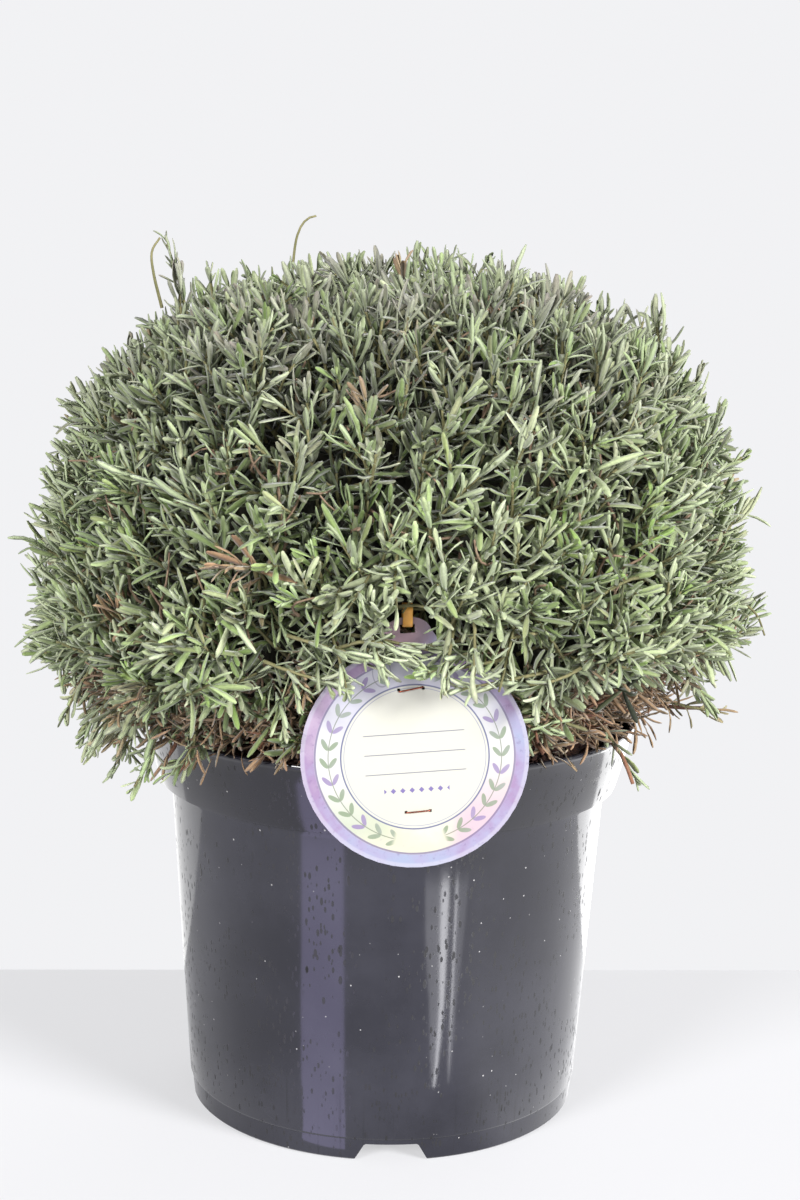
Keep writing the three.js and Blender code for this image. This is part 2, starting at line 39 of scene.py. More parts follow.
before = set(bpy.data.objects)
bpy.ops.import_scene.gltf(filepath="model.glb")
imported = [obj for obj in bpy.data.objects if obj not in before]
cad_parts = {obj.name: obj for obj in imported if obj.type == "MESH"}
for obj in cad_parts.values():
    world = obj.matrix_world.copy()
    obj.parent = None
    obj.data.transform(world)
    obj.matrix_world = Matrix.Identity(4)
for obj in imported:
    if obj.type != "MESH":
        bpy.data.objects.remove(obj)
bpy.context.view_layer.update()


# ---- Finishes: a small language for shader nodes ----


class Signal:
    """A socket's value, so that shader maths reads as an ordinary expression."""

    def __init__(self, finish, socket):
        self.finish = finish
        self.socket = socket

    def maths(self, operation, *others):
        return self.finish.add("ShaderNodeMath", {"operation": operation}, dict(enumerate((self, *others))))

    def __add__(self, other):
        return self.maths("ADD", other)

    def __sub__(self, other):
        return self.maths("SUBTRACT", other)

    def __rsub__(self, other):
        return self.finish.add("ShaderNodeMath", {"operation": "SUBTRACT"}, {0: other, 1: self})

    def __mul__(self, other):
        return self.maths("MULTIPLY", other)

    def __truediv__(self, other):
        return self.maths("DIVIDE", other)

    def __pow__(self, other):
        return self.maths("POWER", other)

    __radd__ = __add__
    __rmul__ = __mul__

    def step(self, start, end):
        """0 below start, 1 above end, smooth between; start may be above end."""
        settings = {"interpolation_type": "SMOOTHSTEP", "clamp": True}
        ends = (start, end, 0.0, 1.0) if start < end else (end, start, 1.0, 0.0)
        sockets = dict(zip(("Value", "From Min", "From Max", "To Min", "To Max"), (self, *ends)))
        return self.finish.add("ShaderNodeMapRange", settings, sockets)

    def near(self, middle, half, soft):
        """1 where the value is within half of the middle."""
        return (self - middle).maths("ABSOLUTE").step(half + soft, half)


class Finish:
    """One material: a Principled surface, with values by socket name, and the nodes that feed it."""

    def __init__(self, name, surface):
        self.material = bpy.data.materials.new(name)
        self.material.use_nodes = True
        self.tree = self.material.node_tree
        self.surface = self.tree.nodes["Principled BSDF"]
        for socket, value in surface.items():
            self.surface.inputs[socket].default_value = value
        self.coordinates = None

    def add(self, kind, settings, sockets, output=0):
        """Adds a node: its settings, then the values or links of its sockets; gives one output."""
        node = self.tree.nodes.new(kind)
        for name, value in settings.items():
            if name == "stops":
                self.set_stops(node.color_ramp, value)
            else:
                setattr(node, name, value)
        for key, value in sockets.items():
            self.feed(node.inputs[key], value)
        return Signal(self, node.outputs[output])

    def feed(self, socket, value):
        if isinstance(value, Signal):
            self.tree.links.new(value.socket, socket)
        elif isinstance(value, tuple) and len(value) == 3 and socket.type == "RGBA":
            socket.default_value = (*value, 1.0)
        else:
            socket.default_value = value

    @staticmethod
    def set_stops(ramp, stops):
        while len(ramp.elements) < len(stops):
            ramp.elements.new(0.5)
        for element, (place, colour) in zip(ramp.elements, stops):
            element.position = place
            element.color = (*colour, 1.0)

    def place(self):
        """Where a point of the surface is, in metres."""
        if self.coordinates is None:
            self.coordinates = self.add("ShaderNodeTexCoord", {}, {}, "Object")
        return self.coordinates

    def parts_of(self, vector):
        node = self.tree.nodes.new("ShaderNodeSeparateXYZ")
        self.feed(node.inputs[0], vector)
        return [Signal(self, output) for output in node.outputs]

    def vector(self, x, y, z):
        return self.add("ShaderNodeCombineXYZ", {}, {0: x, 1: y, 2: z})

    def stretched(self, x, y, z):
        """The place, scaled by its own amount on each axis."""
        return self.add("ShaderNodeVectorMath", {"operation": "MULTIPLY"}, {0: self.place(), 1: (x, y, z)})

    def noise(self, scale, detail=3.0, roughness=0.55, at=None):
        sockets = {"Vector": at or self.place(), "Scale": scale, "Detail": detail, "Roughness": roughness}
        return self.add("ShaderNodeTexNoise", {}, sockets)

    def spots(self, scale, size, at=None, randomness=1.0):
        """1 inside small round spots, one to a cell, of many sizes up to this share of a cell."""
        cell = {"Vector": at or self.place(), "Scale": scale, "Randomness": randomness}
        node = self.add("ShaderNodeTexVoronoi", {"feature": "F1"}, cell, "Distance")
        tint = self.parts_of(Signal(self, node.socket.node.outputs["Color"]))[0]
        return (tint * size - node).step(0.0, size * 0.25)

    def attribute(self, name):
        return self.add("ShaderNodeAttribute", {"attribute_name": name}, {}, "Fac")

    def mix(self, below, above, share, blend="MIX"):
        """Two colours mixed by a share."""
        settings = {"data_type": "RGBA", "blend_type": blend, "clamp_factor": True}
        return self.add("ShaderNodeMix", settings, {0: share, 6: below, 7: above}, 2)

    def layered(self, ground, *layers):
        """A ground colour with layers of (colour, share) over it, the last one on top."""
        for colour, share in layers:
            ground = self.mix(ground, colour, share)
        return ground

    def ramp(self, value, *stops):
        return self.add("ShaderNodeValToRGB", {"stops": stops}, {0: value})

    def dress(self, **looks):
        """Feeds sockets of the surface, named in small letters, such as base_color."""
        for socket, value in looks.items():
            self.feed(self.surface.inputs[socket.replace("_", " ").title()], value)

    def bump(self, height, distance, strength=1.0):
        """Raises the surface by a height from 0 to 1; the distance is in metres at 1."""
        sockets = {"Height": height, "Distance": distance, "Strength": strength}
        self.dress(normal=self.add("ShaderNodeBump", {}, sockets))


def tone(red, green, blue):
    """A colour read off a screen, 0 to 255, as the renderer's linear light."""
    return tuple(
        c / 12.92 if c <= 0.04045 else ((c + 0.055) / 1.055) ** 2.4
        for c in (red / 255, green / 255, blue / 255)
    )


# ---- Meshes from arrays ----


def unit(vectors):
    return vectors / np.maximum(np.linalg.norm(vectors, axis=-1, keepdims=True), 1e-9)


def square_to(axis, hint):
    """Unit vectors square to each axis, as near to the hint as they can be."""
    return unit(hint - axis * np.sum(hint * axis, axis=-1, keepdims=True))


def off_axis(axes):
    """Up, or to the right for the axes that run nearly up."""
    return np.where(np.abs(axes[..., 2:]) < 0.9, UP, RIGHT)


def polar(radius, bearing, height):
    """Points by their distance to the pot's axis, their bearing round it and their height."""
    return np.stack(np.broadcast_arrays(radius * np.cos(bearing), radius * np.sin(bearing), height), -1)


def aimed(rise, bearing):
    """Unit vectors by how far they rise, -1 to 1, and their bearing."""
    return polar(np.sqrt(1 - rise * rise), bearing, rise)


def evenly_round(count):
    """As many bearings, evenly spaced."""
    return np.arange(count) * ROUND / count


def skin(rings, sides, closed=False):
    """Four-cornered faces between rings of points; closed joins the last ring to the first."""
    r, s = np.meshgrid(np.arange(rings if closed else rings - 1), np.arange(sides), indexing="ij")
    after, beside = (r + 1) % rings, (s + 1) % sides
    faces = np.stack([r * sides + s, r * sides + beside, after * sides + beside, after * sides + s], -1)
    return faces.reshape(-1, 4)


def inside_out(faces):
    return faces[:, [0, 3, 2, 1]]


def repeated(faces, count, points_each):
    """The faces of one small thing, for as many of them as there are."""
    return (faces[None] + (np.arange(count) * points_each)[:, None, None]).reshape(-1, 4)


class Heap:
    """Vertices, faces and per-vertex values of many small things, gathered into one mesh."""

    def __init__(self):
        self.points, self.faces, self.values, self.count = [], [], [], 0

    def put(self, points, faces, **values):
        """Adds points (n, 3), four-cornered faces (m, 4) and one value per point for each name."""
        self.points.append(points)
        self.faces.append(faces + self.count)
        self.values.append({k: np.broadcast_to(v, (len(points),)) for k, v in values.items()})
        self.count += len(points)
        return self

    def make(self, name, finish, slot, replaces=(), smooth=True):
        points = np.concatenate(self.points) * MM
        faces = np.concatenate(self.faces)
        mesh = bpy.data.meshes.new(name)
        mesh.vertices.add(len(points))
        mesh.vertices.foreach_set("co", points.astype(np.float32).ravel())
        mesh.loops.add(faces.size)
        mesh.loops.foreach_set("vertex_index", faces.astype(np.int32).ravel())
        mesh.polygons.add(len(faces))
        mesh.polygons.foreach_set("loop_start", np.arange(len(faces), dtype=np.int32) * 4)
        mesh.polygons.foreach_set("use_smooth", np.full(len(faces), smooth))
        mesh.update(calc_edges=True)
        for key in self.values[0]:
            data = np.concatenate([v[key] for v in self.values]).astype(np.float32)
            mesh.attributes.new(key, "FLOAT", "POINT").data.foreach_set("value", data)
        return place_piece(mesh, finish, replaces)


def put_in_scene(name, data):
    thing = bpy.data.objects.new(name, data)
    bpy.context.scene.collection.objects.link(thing)
    return thing


def place_piece(mesh, finish, replaces=()):
    """Puts a mesh in the scene as a piece of the plant."""
    thing = put_in_scene(mesh.name, mesh)
    mesh.materials.append(finish.material)
    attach(thing, "root")
    if replaces:
        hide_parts(*replaces)
    return thing


def tubes(paths, radii, sides):
    """Closed tubes along many paths (count, steps, 3), radii to fit (count, steps): points and faces."""
    count, steps, _ = paths.shape
    radii = np.broadcast_to(radii, (count, steps))[:, :, None, None]
    ahead = unit(np.gradient(paths, axis=1))
    side = square_to(ahead, np.broadcast_to(off_axis(ahead[:, :1]), ahead.shape))
    other = np.cross(ahead, side)
    turn = evenly_round(sides)[:, None]
    ring = (side[:, :, None] * np.cos(turn) + other[:, :, None] * np.sin(turn)) * radii
    points = (paths[:, :, None] + ring).reshape(-1, 3)
    cap = np.array([0, sides // 4, sides // 2, sides - sides // 4])
    faces = np.concatenate([skin(steps, sides), [cap[::-1], cap + (steps - 1) * sides]])
    return points, repeated(faces, count, steps * sides)


# ---- Leaves ----

# Along a leaf from its root to its tip: the stations of its section, and how wide it is there.
LEAF_STATIONS = np.array([0.0, 0.3, 0.62, 0.87, 1.0])
LEAF_WIDTHS = np.array([0.4, 0.76, 1.0, 0.94, 0.42])
# Left margin, groove of the upper face, right margin, rib of the under face, in leaf widths.
LEAF_SECTION = np.array([[-0.5, 0.12], [0.0, -0.03], [0.5, 0.12], [0.0, -0.2]])


LEAF_ENDS = [[0, 1, 2, 3], [19, 18, 17, 16]]  # the faces at the root and at the tip
LEAF_FACES = np.concatenate([inside_out(skin(len(LEAF_STATIONS), len(LEAF_SECTION))), LEAF_ENDS])


class Leaves:
    """Many leaves as arrays, one row to a leaf."""

    FIELDS = ("root", "direction", "face", "length", "width", "bend", "twist")

    def __init__(self, root, direction, face, length, width, bend, twist, **looks):
        self.root, self.direction, self.face = root, direction, square_to(direction, face)
        self.length, self.width, self.bend, self.twist = length, width, bend, twist
        self.looks = looks

    def keep(self, mask):
        looks = {k: v[mask] for k, v in self.looks.items()}
        return Leaves(*(getattr(self, field)[mask] for field in self.FIELDS), **looks)

    def along(self, share):
        """The middle line's points at a share of each leaf's length."""
        reach = self.length[:, None]
        bow = self.face * (self.bend * share**2)[:, None]
        return self.root + self.direction * reach * share + bow * reach

    def put_in(self, heap):
        count = len(self.root)
        if not count:
            return
        face, side = self.face, np.cross(self.direction, self.face)
        t = LEAF_STATIONS
        long, bend = self.length[:, None, None], self.bend[:, None, None]
        middle = self.root[:, None] + self.direction[:, None] * long * t[:, None]
        middle = middle + face[:, None] * bend * long * t[:, None] ** 2
        lean = 2 * bend * t[:, None]
        facing = unit(face[:, None] - self.direction[:, None] * lean)
        turn = (self.twist[:, None] * t)[..., None]
        across = side[:, None] * np.cos(turn) + facing * np.sin(turn)
        facing = facing * np.cos(turn) - side[:, None] * np.sin(turn)
        size = self.width[:, None] * LEAF_WIDTHS
        x, z = (size[:, :, None, None] * LEAF_SECTION[:, k, None] for k in (0, 1))
        points = middle[:, :, None] + across[:, :, None] * x + facing[:, :, None] * z
        per_leaf = len(t) * 4
        looks = {k: np.repeat(v, per_leaf) for k, v in self.looks.items()}
        looks["along"] = np.tile(np.repeat(t, 4), count)
        looks["margin"] = np.tile(np.tile([1.0, 0.0, 1.0, 0.5], len(t)), count)
        looks["under"] = np.tile(np.tile([0.0, 0.0, 0.0, 1.0], len(t)), count)
        heap.put(points.reshape(-1, 3), repeated(LEAF_FACES, count, per_leaf), **looks)


def together(groups):
    """Several sets of leaves as one."""
    rows = [np.concatenate([getattr(g, field) for g in groups]) for field in Leaves.FIELDS]
    looks = {k: np.concatenate([g.looks[k] for g in groups]) for k in groups[0].looks}
    return Leaves(*rows, **looks)


def make_in_sectors(name, leaves, sectors, slot, node):
    """One piece of leaves for each sector round the pot."""
    bearing = np.arctan2(leaves.root[:, 1], leaves.root[:, 0])
    sector = ((bearing + math.pi) / ROUND * sectors).astype(int) % sectors
    for k in range(sectors):
        heap = Heap()
        leaves.keep(sector == k).put_in(heap)
        heap.make(f"{name}_{k + 1}", FINISHES["leaf"], slot, [node])


# ---- The dome ----

DOME_MIDDLE = 256.0  # height of the widest part
DOME_TOP = 430.0
DOME_SPREAD = 183.0  # radius out to the leaf tips
DOME_FULLNESS = 2.5
DOME_FULLNESS_BELOW = 2.1
SKIRT_RISE = 66.0  # of the lower half
SKIRT_DROP = 26.0  # further, at the left
# Hollows in the dome's lower edge: bearing, half angle, softness of the sides, top, softness of the
# top, and the radius they draw the dome in to.
HOLLOWS = [
    (-QUARTER, 0.56, 0.26, 288.0, 30.0, 143.0),  # behind the label
    (-0.74, 0.42, 0.3, 258.0, 36.0, 124.0),  # where the dry mat and the peat show
    (-2.12, 0.24, 0.26, 240.0, 26.0, 127.0),  # the same, smaller, at the left of the label
]

LABEL_X, LABEL_Y, LABEL_Z = 3.6, -150.0, 215.3
LABEL_RADIUS = 51.0
LABEL_TURN = math.radians(4.6)
RIM_RADIUS, RIM_HEIGHT = 126.0, 202.0


def smooth_step(value, start, end):
    t = np.clip((value - start) / (end - start), 0.0, 1.0)
    return t * t * (3 - 2 * t)


def lumps(d):
    """Uneven swells of the dome, from -1 to 1."""
    x, y, z = np.moveaxis(d, -1, 0)
    wide = np.sin(x * 5 + 1.3) * np.cos(y * 4.4 - 0.4) + 0.7 * np.sin(z * 7 + x * 4)
    return (wide + 0.5 * np.cos(y * 9 + z * 4 + 2)) / 2.2


def clumps(p):
    """Finer swells where shoots stand close together, from -1 to 1, in millimetre space."""
    x, y, z = np.moveaxis(p / 15, -1, 0)
    waves = np.sin(x + 1.7 * np.sin(y * 0.8)) + np.sin(y * 1.1 + 2 + 1.3 * np.sin(z))
    return (waves + np.sin(z * 1.2 + np.sin(x * 0.9))) / 3


def skirt_drop(bearing):
    return smooth_step(-np.cos(bearing - 0.1), -0.1, 0.95)


def hollow_pull(bearing, z, radius, inset):
    """How far a point is drawn in by the hollows, as a share of its radius."""
    pull = np.zeros_like(radius)
    for middle, half, soft, top, soft_top, depth in HOLLOWS:
        aside = np.abs(np.arctan2(np.sin(bearing - middle), np.cos(bearing - middle)))
        share = smooth_step(half - aside, 0.0, soft) * smooth_step(top - z, 0.0, soft_top)
        beyond = np.maximum(0.0, radius - (depth - inset * 0.6)) / np.maximum(radius, 1)
        pull = np.maximum(pull, share * beyond)
    return pull


def dome(d, inset=0.0):
    """The dome's surface in each direction from its middle, drawn in by an inset."""
    bearing = np.arctan2(d[..., 1], d[..., 0])
    upper = d[..., 2] > 0
    below = SKIRT_RISE + SKIRT_DROP * skirt_drop(bearing)
    rise = np.where(upper, DOME_TOP - DOME_MIDDLE, below) - inset
    power = np.where(upper, DOME_FULLNESS, DOME_FULLNESS_BELOW)
    across = np.hypot(d[..., 0], d[..., 1]) / (DOME_SPREAD - inset)
    size = (across**power + (np.abs(d[..., 2]) / rise) ** power) ** (-1 / power)
    points = d * (size * (1 + 0.022 * lumps(d)))[..., None]
    points[..., 2] += DOME_MIDDLE
    radius = np.hypot(points[..., 0], points[..., 1])
    points[..., :2] *= (1 - hollow_pull(bearing, points[..., 2], radius, inset))[..., None]
    return points


def dome_normal(d, inset=0.0):
    side = square_to(d, off_axis(d))
    here = dome(d, inset)
    a, b = (dome(unit(d + 0.03 * aside), inset) - here for aside in (side, np.cross(d, side)))
    return unit(np.cross(a, b))


def spread_over(rng, tries, spacing, lowest):
    """Directions whose points on the dome lie evenly, at least a spacing apart."""
    i = np.arange(tries) + 0.5
    z = 1 - i / tries * (1 - lowest)
    d = unit(aimed(z, i * GOLDEN_TURN) + rng.normal(0, 0.012, (tries, 3)))
    points = dome(d)
    order = rng.permutation(tries)
    tree = kdtree.KDTree(tries)
    for k, point in enumerate(points):
        tree.insert(point, k)
    tree.balance()
    free = np.ones(tries, bool)
    kept = []
    for k in order:
        if free[k]:
            kept.append(k)
            for _, other, _ in tree.find_range(points[k], spacing):
                free[other] = False
    return d[np.array(kept)]


# Along a shoot, from its lowest leaves to its tip: how long each pair is, and how much painted shade darkens
# it.
SHOOT_STATIONS = [0.0, 0.4, 0.75, 1.0]
PAIR_LENGTHS = [0.78, 1.0, 0.92, 0.5]
PAIR_PAINTED_LIGHT = [-0.5, -0.2, 0.0, 0.0]


def grow(rng, tips, axes, stem_length, joints, leaf, lean, looks, curve=0.1, leafy=0.62):
    """Leafy shoots that end at the tips: the leaves in opposite pairs up each stem, and the stems.

    The leaf is (length, width); the lean is how far the lowest and the topmost pairs lean off the stem.
    """
    count = len(tips)
    side = square_to(axes, rng.normal(0, 1, (count, 3)))
    sway = side * (stem_length * rng.normal(0, curve, count))[:, None]
    roots = tips - axes * stem_length[:, None]

    def on_stem(f):
        return roots + (tips - roots) * f[:, None] + sway * (f * (1 - f) * 4)[:, None]

    leaves = []
    start = rng.uniform(0, ROUND, count)
    vigour = rng.uniform(0.82, 1.16, count)
    for joint in range(joints):
        share = joint / (joints - 1)
        f = np.minimum(1 - (1 - share) ** 1.1 * leafy + rng.uniform(-0.03, 0.03, count), 1.0)
        base = on_stem(f)
        axis = unit(axes + (sway / stem_length[:, None]) * (1 - 2 * f)[:, None] * 4)
        ref = square_to(axis, np.broadcast_to([0.31, 0.52, 0.79], axis.shape))
        for half in (0, 1):
            bearing = start + joint * QUARTER + half * math.pi + rng.normal(0, 0.28, count)
            out = ref * np.cos(bearing)[:, None] + np.cross(axis, ref) * np.sin(bearing)[:, None]
            wide = lean[0] + (lean[1] - lean[0]) * share + rng.normal(0, 0.17, count)
            direction = unit(axis * np.cos(wide)[:, None] + out * np.sin(wide)[:, None])
            grown = np.interp(share, SHOOT_STATIONS, PAIR_LENGTHS) * vigour * rng.uniform(0.8, 1.15, count)
            pair = {k: v + rng.normal(0, 0.08, count) for k, v in looks.items()}
            # Painted shade: the lower pairs of each shoot are darkened.
            pair["light"] = pair["light"] + np.interp(share, SHOOT_STATIONS, PAIR_PAINTED_LIGHT)
            width = leaf[1] * (0.55 + 0.45 * grown) * rng.uniform(0.85, 1.15, count)
            bend, twist = rng.normal(0.08, 0.33, count), rng.normal(0, 0.6, count)
            pair = {k: np.clip(v, 0, 1) for k, v in pair.items()}
            leaves.append(Leaves(base, direction, axis, leaf[0] * grown, width, bend, twist, **pair))
    steps = np.linspace(0, 0.985, 5)
    paths = np.stack([on_stem(np.full(count, f)) for f in steps], 1)
    return together(leaves), paths


# What leaves and stems stay clear of: gaps, the card's tab by its place on the card, and the strap.
CARD_GAP, STEM_CARD_GAP, RIM_GAP, STEM_RIM_GAP, FRONT_GAP = 2.0, 16.0, 3.5, 3.0, 2.5
TAB_MIDDLE, TAB_HALF, TAB_LOW, TAB_HIGH = -5.0, 17.0, 40.0, 66.0
STRAP_MIDDLE, STRAP_HALF, STRAP_BACK, STRAP_HEIGHT, STRAP_HALF_HEIGHT = -1.0, 5.5, -140.0, 279.0, 8.0
# Above these heights on the card, leaves and stems may hang in front of its face.
OVERHANG, STEM_OVERHANG = 29.0, 27.0


def clear_of_the_label(leaves):
    """Drops the leaves that would cross the card, the strap or the pot's rim, or hang before the card."""
    keep = np.ones(len(leaves.root), bool)
    for share in (0.0, 0.25, 0.5, 0.75, 1.0):
        x, y, z = np.moveaxis(leaves.along(share), -1, 0)
        u, v = x - LABEL_X, z - LABEL_Z
        card = np.hypot(u, v) < LABEL_RADIUS + CARD_GAP
        tab = (np.abs(u - TAB_MIDDLE) < TAB_HALF) & (v > TAB_LOW) & (v < TAB_HIGH)
        overhang = (v > OVERHANG) & (y < LABEL_Y - FRONT_GAP)
        strap = (np.abs(x - STRAP_MIDDLE) < STRAP_HALF) & (y < STRAP_BACK)
        strap &= np.abs(z - STRAP_HEIGHT) < STRAP_HALF_HEIGHT
        rim = (z < RIM_HEIGHT + 3) & (np.hypot(x, y) < RIM_RADIUS + RIM_GAP)
        keep &= ~((card | tab) & (y < LABEL_Y + 3) & ~overhang | strap | rim) & (z > 2)
    return leaves.keep(keep)


# ---- Finishes of this plant ----


def leaf_finish():
    surface = {"Roughness": 0.62, "Sheen Weight": 0.25, "Sheen Roughness": 0.45, "Specular IOR Level": 0.35}
    f = Finish("lavender leaf", surface)
    sage, fresh, blush, dry, light = (f.attribute(k) for k in ("sage", "fresh", "blush", "dry", "light"))
    along, margin, under = (f.attribute(k) for k in ("along", "margin", "under"))
    green = f.mix(tone(104, 124, 66), tone(194, 202, 164), sage)
    green = f.layered(green, (tone(146, 180, 86), fresh), (tone(148, 132, 138), blush * along))
    straw = f.mix(tone(116, 76, 56), tone(196, 158, 122), f.noise(220.0, 2.0))
    mottle = f.noise(900.0, 2.0).step(0.3, 0.75)
    colour = f.layered(
        green,
        (straw, dry),
        (tone(190, 198, 176), under * 0.45 * (1 - dry)),
        (tone(202, 210, 186), margin.step(0.55, 1.0) * 0.25 * (1 - dry)),
        (tone(58, 70, 44), (1 - mottle) * 0.22),
    )
    # Painted shade: where the light attribute is low, the leaf colour is mixed towards near black, for the
    # shade deep in the dome.
    f.dress(base_color=f.mix(tone(20, 28, 4), colour, light), roughness=0.55 + 0.2 * mottle)
    hairs = f.noise(2600.0, 2.0) + margin * 0.4
    f.bump(hairs, 0.0002, 0.5)
    return f


def wood_finish(name, dark, pale):
    f = Finish(name, {"Roughness": 0.85})
    grain = f.noise(1.0, 5.0, 0.65, at=f.stretched(420, 420, 90))
    colour = f.mix(dark, pale, (grain * 0.7 + f.noise(60.0) * 0.5).step(0.35, 0.85))
    lichen = f.noise(150.0).step(0.6, 0.72) * 0.4
    f.dress(base_color=f.mix(colour, tone(110, 104, 84), lichen), roughness=0.75 + 0.2 * grain)
    f.bump(grain, 0.0008, 0.8)
    return f


def peat_finish():
    f = Finish("moist peat", {"Roughness": 0.95})
    crumbs = f.noise(260.0, 6.0, 0.7)
    colour = f.ramp(crumbs, (0.3, tone(26, 15, 12)), (0.52, tone(58, 34, 26)), (0.7, tone(98, 62, 44)))
    colour = f.mix(colour, tone(150, 116, 84), f.spots(420.0, 0.3) * 0.7)
    f.dress(base_color=colour, roughness=0.8 + 0.2 * crumbs)
    f.bump(crumbs, 0.002, 1.0)
    return f


def pot_finish():
    """Glossy blue-grey plastic with dried water spots, runs, fine dust and scuffs on the band, and painted
    shade that darkens the band below the rim.
    """
    f = Finish("dark nursery plastic", {"Roughness": 0.1, "IOR": 1.52})
    x, y, z = f.parts_of(f.place())
    around = y.maths("ARCTAN2", x)

    def unrolled(across, up):
        """The pot's wall laid flat, at a scale of its own on each axis."""
        return f.vector(around * across, z * up, 0.0)

    wall, drawn_out = f.vector(around * 0.11, z, 0.0), unrolled(0.11, 0.42)
    on_band, on_foot = z.step(0.166, 0.17), z.step(0.05, 0.012)
    spots = f.spots(520.0, 0.46, at=drawn_out) * f.noise(20.0, at=wall).step(0.42, 0.52)
    drops = f.spots(240.0, 0.27, at=drawn_out) * f.noise(15.0, 2.0, at=wall).step(0.42, 0.54)
    specks = f.spots(170.0, 0.09, at=wall)
    runs = f.noise(1.0, 4.0, 0.6, at=unrolled(36, 9)).step(0.56, 0.72) * on_foot
    scuffs = f.noise(1.0, 4.0, 0.7, at=unrolled(7, 420)).step(0.55, 0.7)
    scuffs = scuffs * f.noise(22.0, at=wall).step(0.45, 0.6) * on_band
    haze = f.noise(11.0, 5.0, 0.6, at=wall)
    colour = f.layered(
        f.mix(tone(24, 24, 33), tone(40, 40, 49), haze.step(0.35, 0.7)),
        # Painted shade: the band below the rim is darkened.
        (tone(12, 11, 20), on_band * 0.65),
        (tone(9, 9, 13), runs * 0.8 + scuffs * 0.9),
        (tone(11, 10, 14), spots * 0.85 + drops * 0.85),
        (tone(170, 168, 168), specks * 0.75),
    )
    dull = 0.45 * spots + 0.45 * drops + 0.4 * scuffs + 0.5 * specks + 0.15 * runs
    f.dress(base_color=colour, roughness=0.07 + 0.06 * haze + dull)
    ripple = f.noise(1.0, 2.0, 0.5, at=unrolled(5, 3))
    f.bump(ripple + spots * 0.1 + drops * 0.15 + f.noise(900.0, 2.0) * 0.03, 0.0004, 0.35)
    return f


CARD_WHITE = 0.43  # of the light that falls on white card, the share that comes back
BORDER_RADIUS = 44.5  # of its inner edge
WREATH_RADIUS, WREATH_PAIRS, WREATH_SPAN = 38.6, 15.0, 1.24
PANEL_RADIUS, INNER_LINE_RADIUS = 33.0, 31.6
RULE_HEIGHTS, RULE_HALF = (11.0, 2.0, -7.0), 22.0
ROW_HEIGHT, ROW_HALF, LOZENGE_STEP, LOZENGE_HALF = -15.0, 14.5, 4.2, 1.5
WREATH_LEAN = math.radians(36)


def ink(red, green, blue):
    """A colour printed on the card, given as it reads against the card's white."""
    return tuple(CARD_WHITE * c for c in tone(red, green, blue))


def card_places(f):
    """Places on the card in millimetres: right of its middle, above it, and in front of the pot's axis."""
    x, y, z = f.parts_of(f.place())
    right, up = (x / MM) - LABEL_X, (z / MM) - LABEL_Z
    c, s = math.cos(LABEL_TURN), math.sin(LABEL_TURN)
    return right * c + up * s, up * c - right * s, y


def washes(f, u, v, wash, bloom, flecks):
    """Cream, with pale yellow, lilac, green and rose washes, and flecks low down."""
    return f.layered(
        f.mix(ink(253, 252, 249), ink(252, 249, 222), (wash * 0.7 + v * -0.01).step(0.35, 0.8)),
        (ink(226, 224, 246), (wash + v * 0.012).step(0.5, 0.95) * 0.8),
        (ink(206, 222, 196), (bloom + u * -0.006).step(0.5, 0.68) * v.step(-6.0, -40.0) * 0.75),
        (ink(240, 206, 228), (bloom + u * 0.01).step(0.6, 0.85) * v.step(4.0, -34.0) * 0.8),
        (ink(208, 190, 214), flecks.step(0.55, 0.75) * v.step(0.0, -46.0) * 0.4),
    )


def border(f, u, v, radius, wash, bloom, flecks):
    """A mottled lilac border, paler at the card's very edge."""
    stops = ((0.4, ink(190, 200, 232)), (0.54, ink(196, 188, 226)), (0.66, ink(188, 158, 202)))
    return f.layered(
        f.ramp(wash * 0.8 + bloom * 0.4 + v * 0.002 - u * 0.0015, *stops, (0.8, ink(214, 190, 220))),
        (ink(226, 222, 240), radius.step(48.6, 49.6) * 0.6),
        (ink(120, 96, 150), flecks.step(0.55, 0.72) * 0.35),
    )


def wreath(f, from_top, radius, wash):
    """Layers of a wreath that climbs both sides from the bottom: leaf pairs along a thin stalk."""
    turn = from_top.maths("ABSOLUTE")
    cell = (turn * (WREATH_PAIRS / math.pi)).maths("FRACT") - 0.5
    along = cell * (-math.pi * WREATH_RADIUS / WREATH_PAIRS)
    out = (radius - WREATH_RADIUS).maths("ABSOLUTE") - 2.0
    c, s = math.cos(WREATH_LEAN), math.sin(WREATH_LEAN)
    p, q = along * c + out * s, out * c - along * s
    leaf = ((p / 3.1) ** 2.0 + (q / 1.15) ** 2.0).step(1.0, 0.7)
    span = turn.near(QUARTER, WREATH_SPAN, 0.06)
    every_third = (turn * (WREATH_PAIRS / math.pi / 3)).maths("FRACT").step(0.6, 0.68)
    tint = f.mix(ink(150, 172, 136), ink(166, 142, 198), every_third)
    tint = f.mix(tint, ink(200, 196, 214), wash.step(0.45, 0.7) * 0.5)
    stalk = (radius - WREATH_RADIUS).near(0.0, 0.14, 0.16)
    return (tint, leaf * span * 0.85), (ink(140, 150, 128), stalk * span * 0.8)


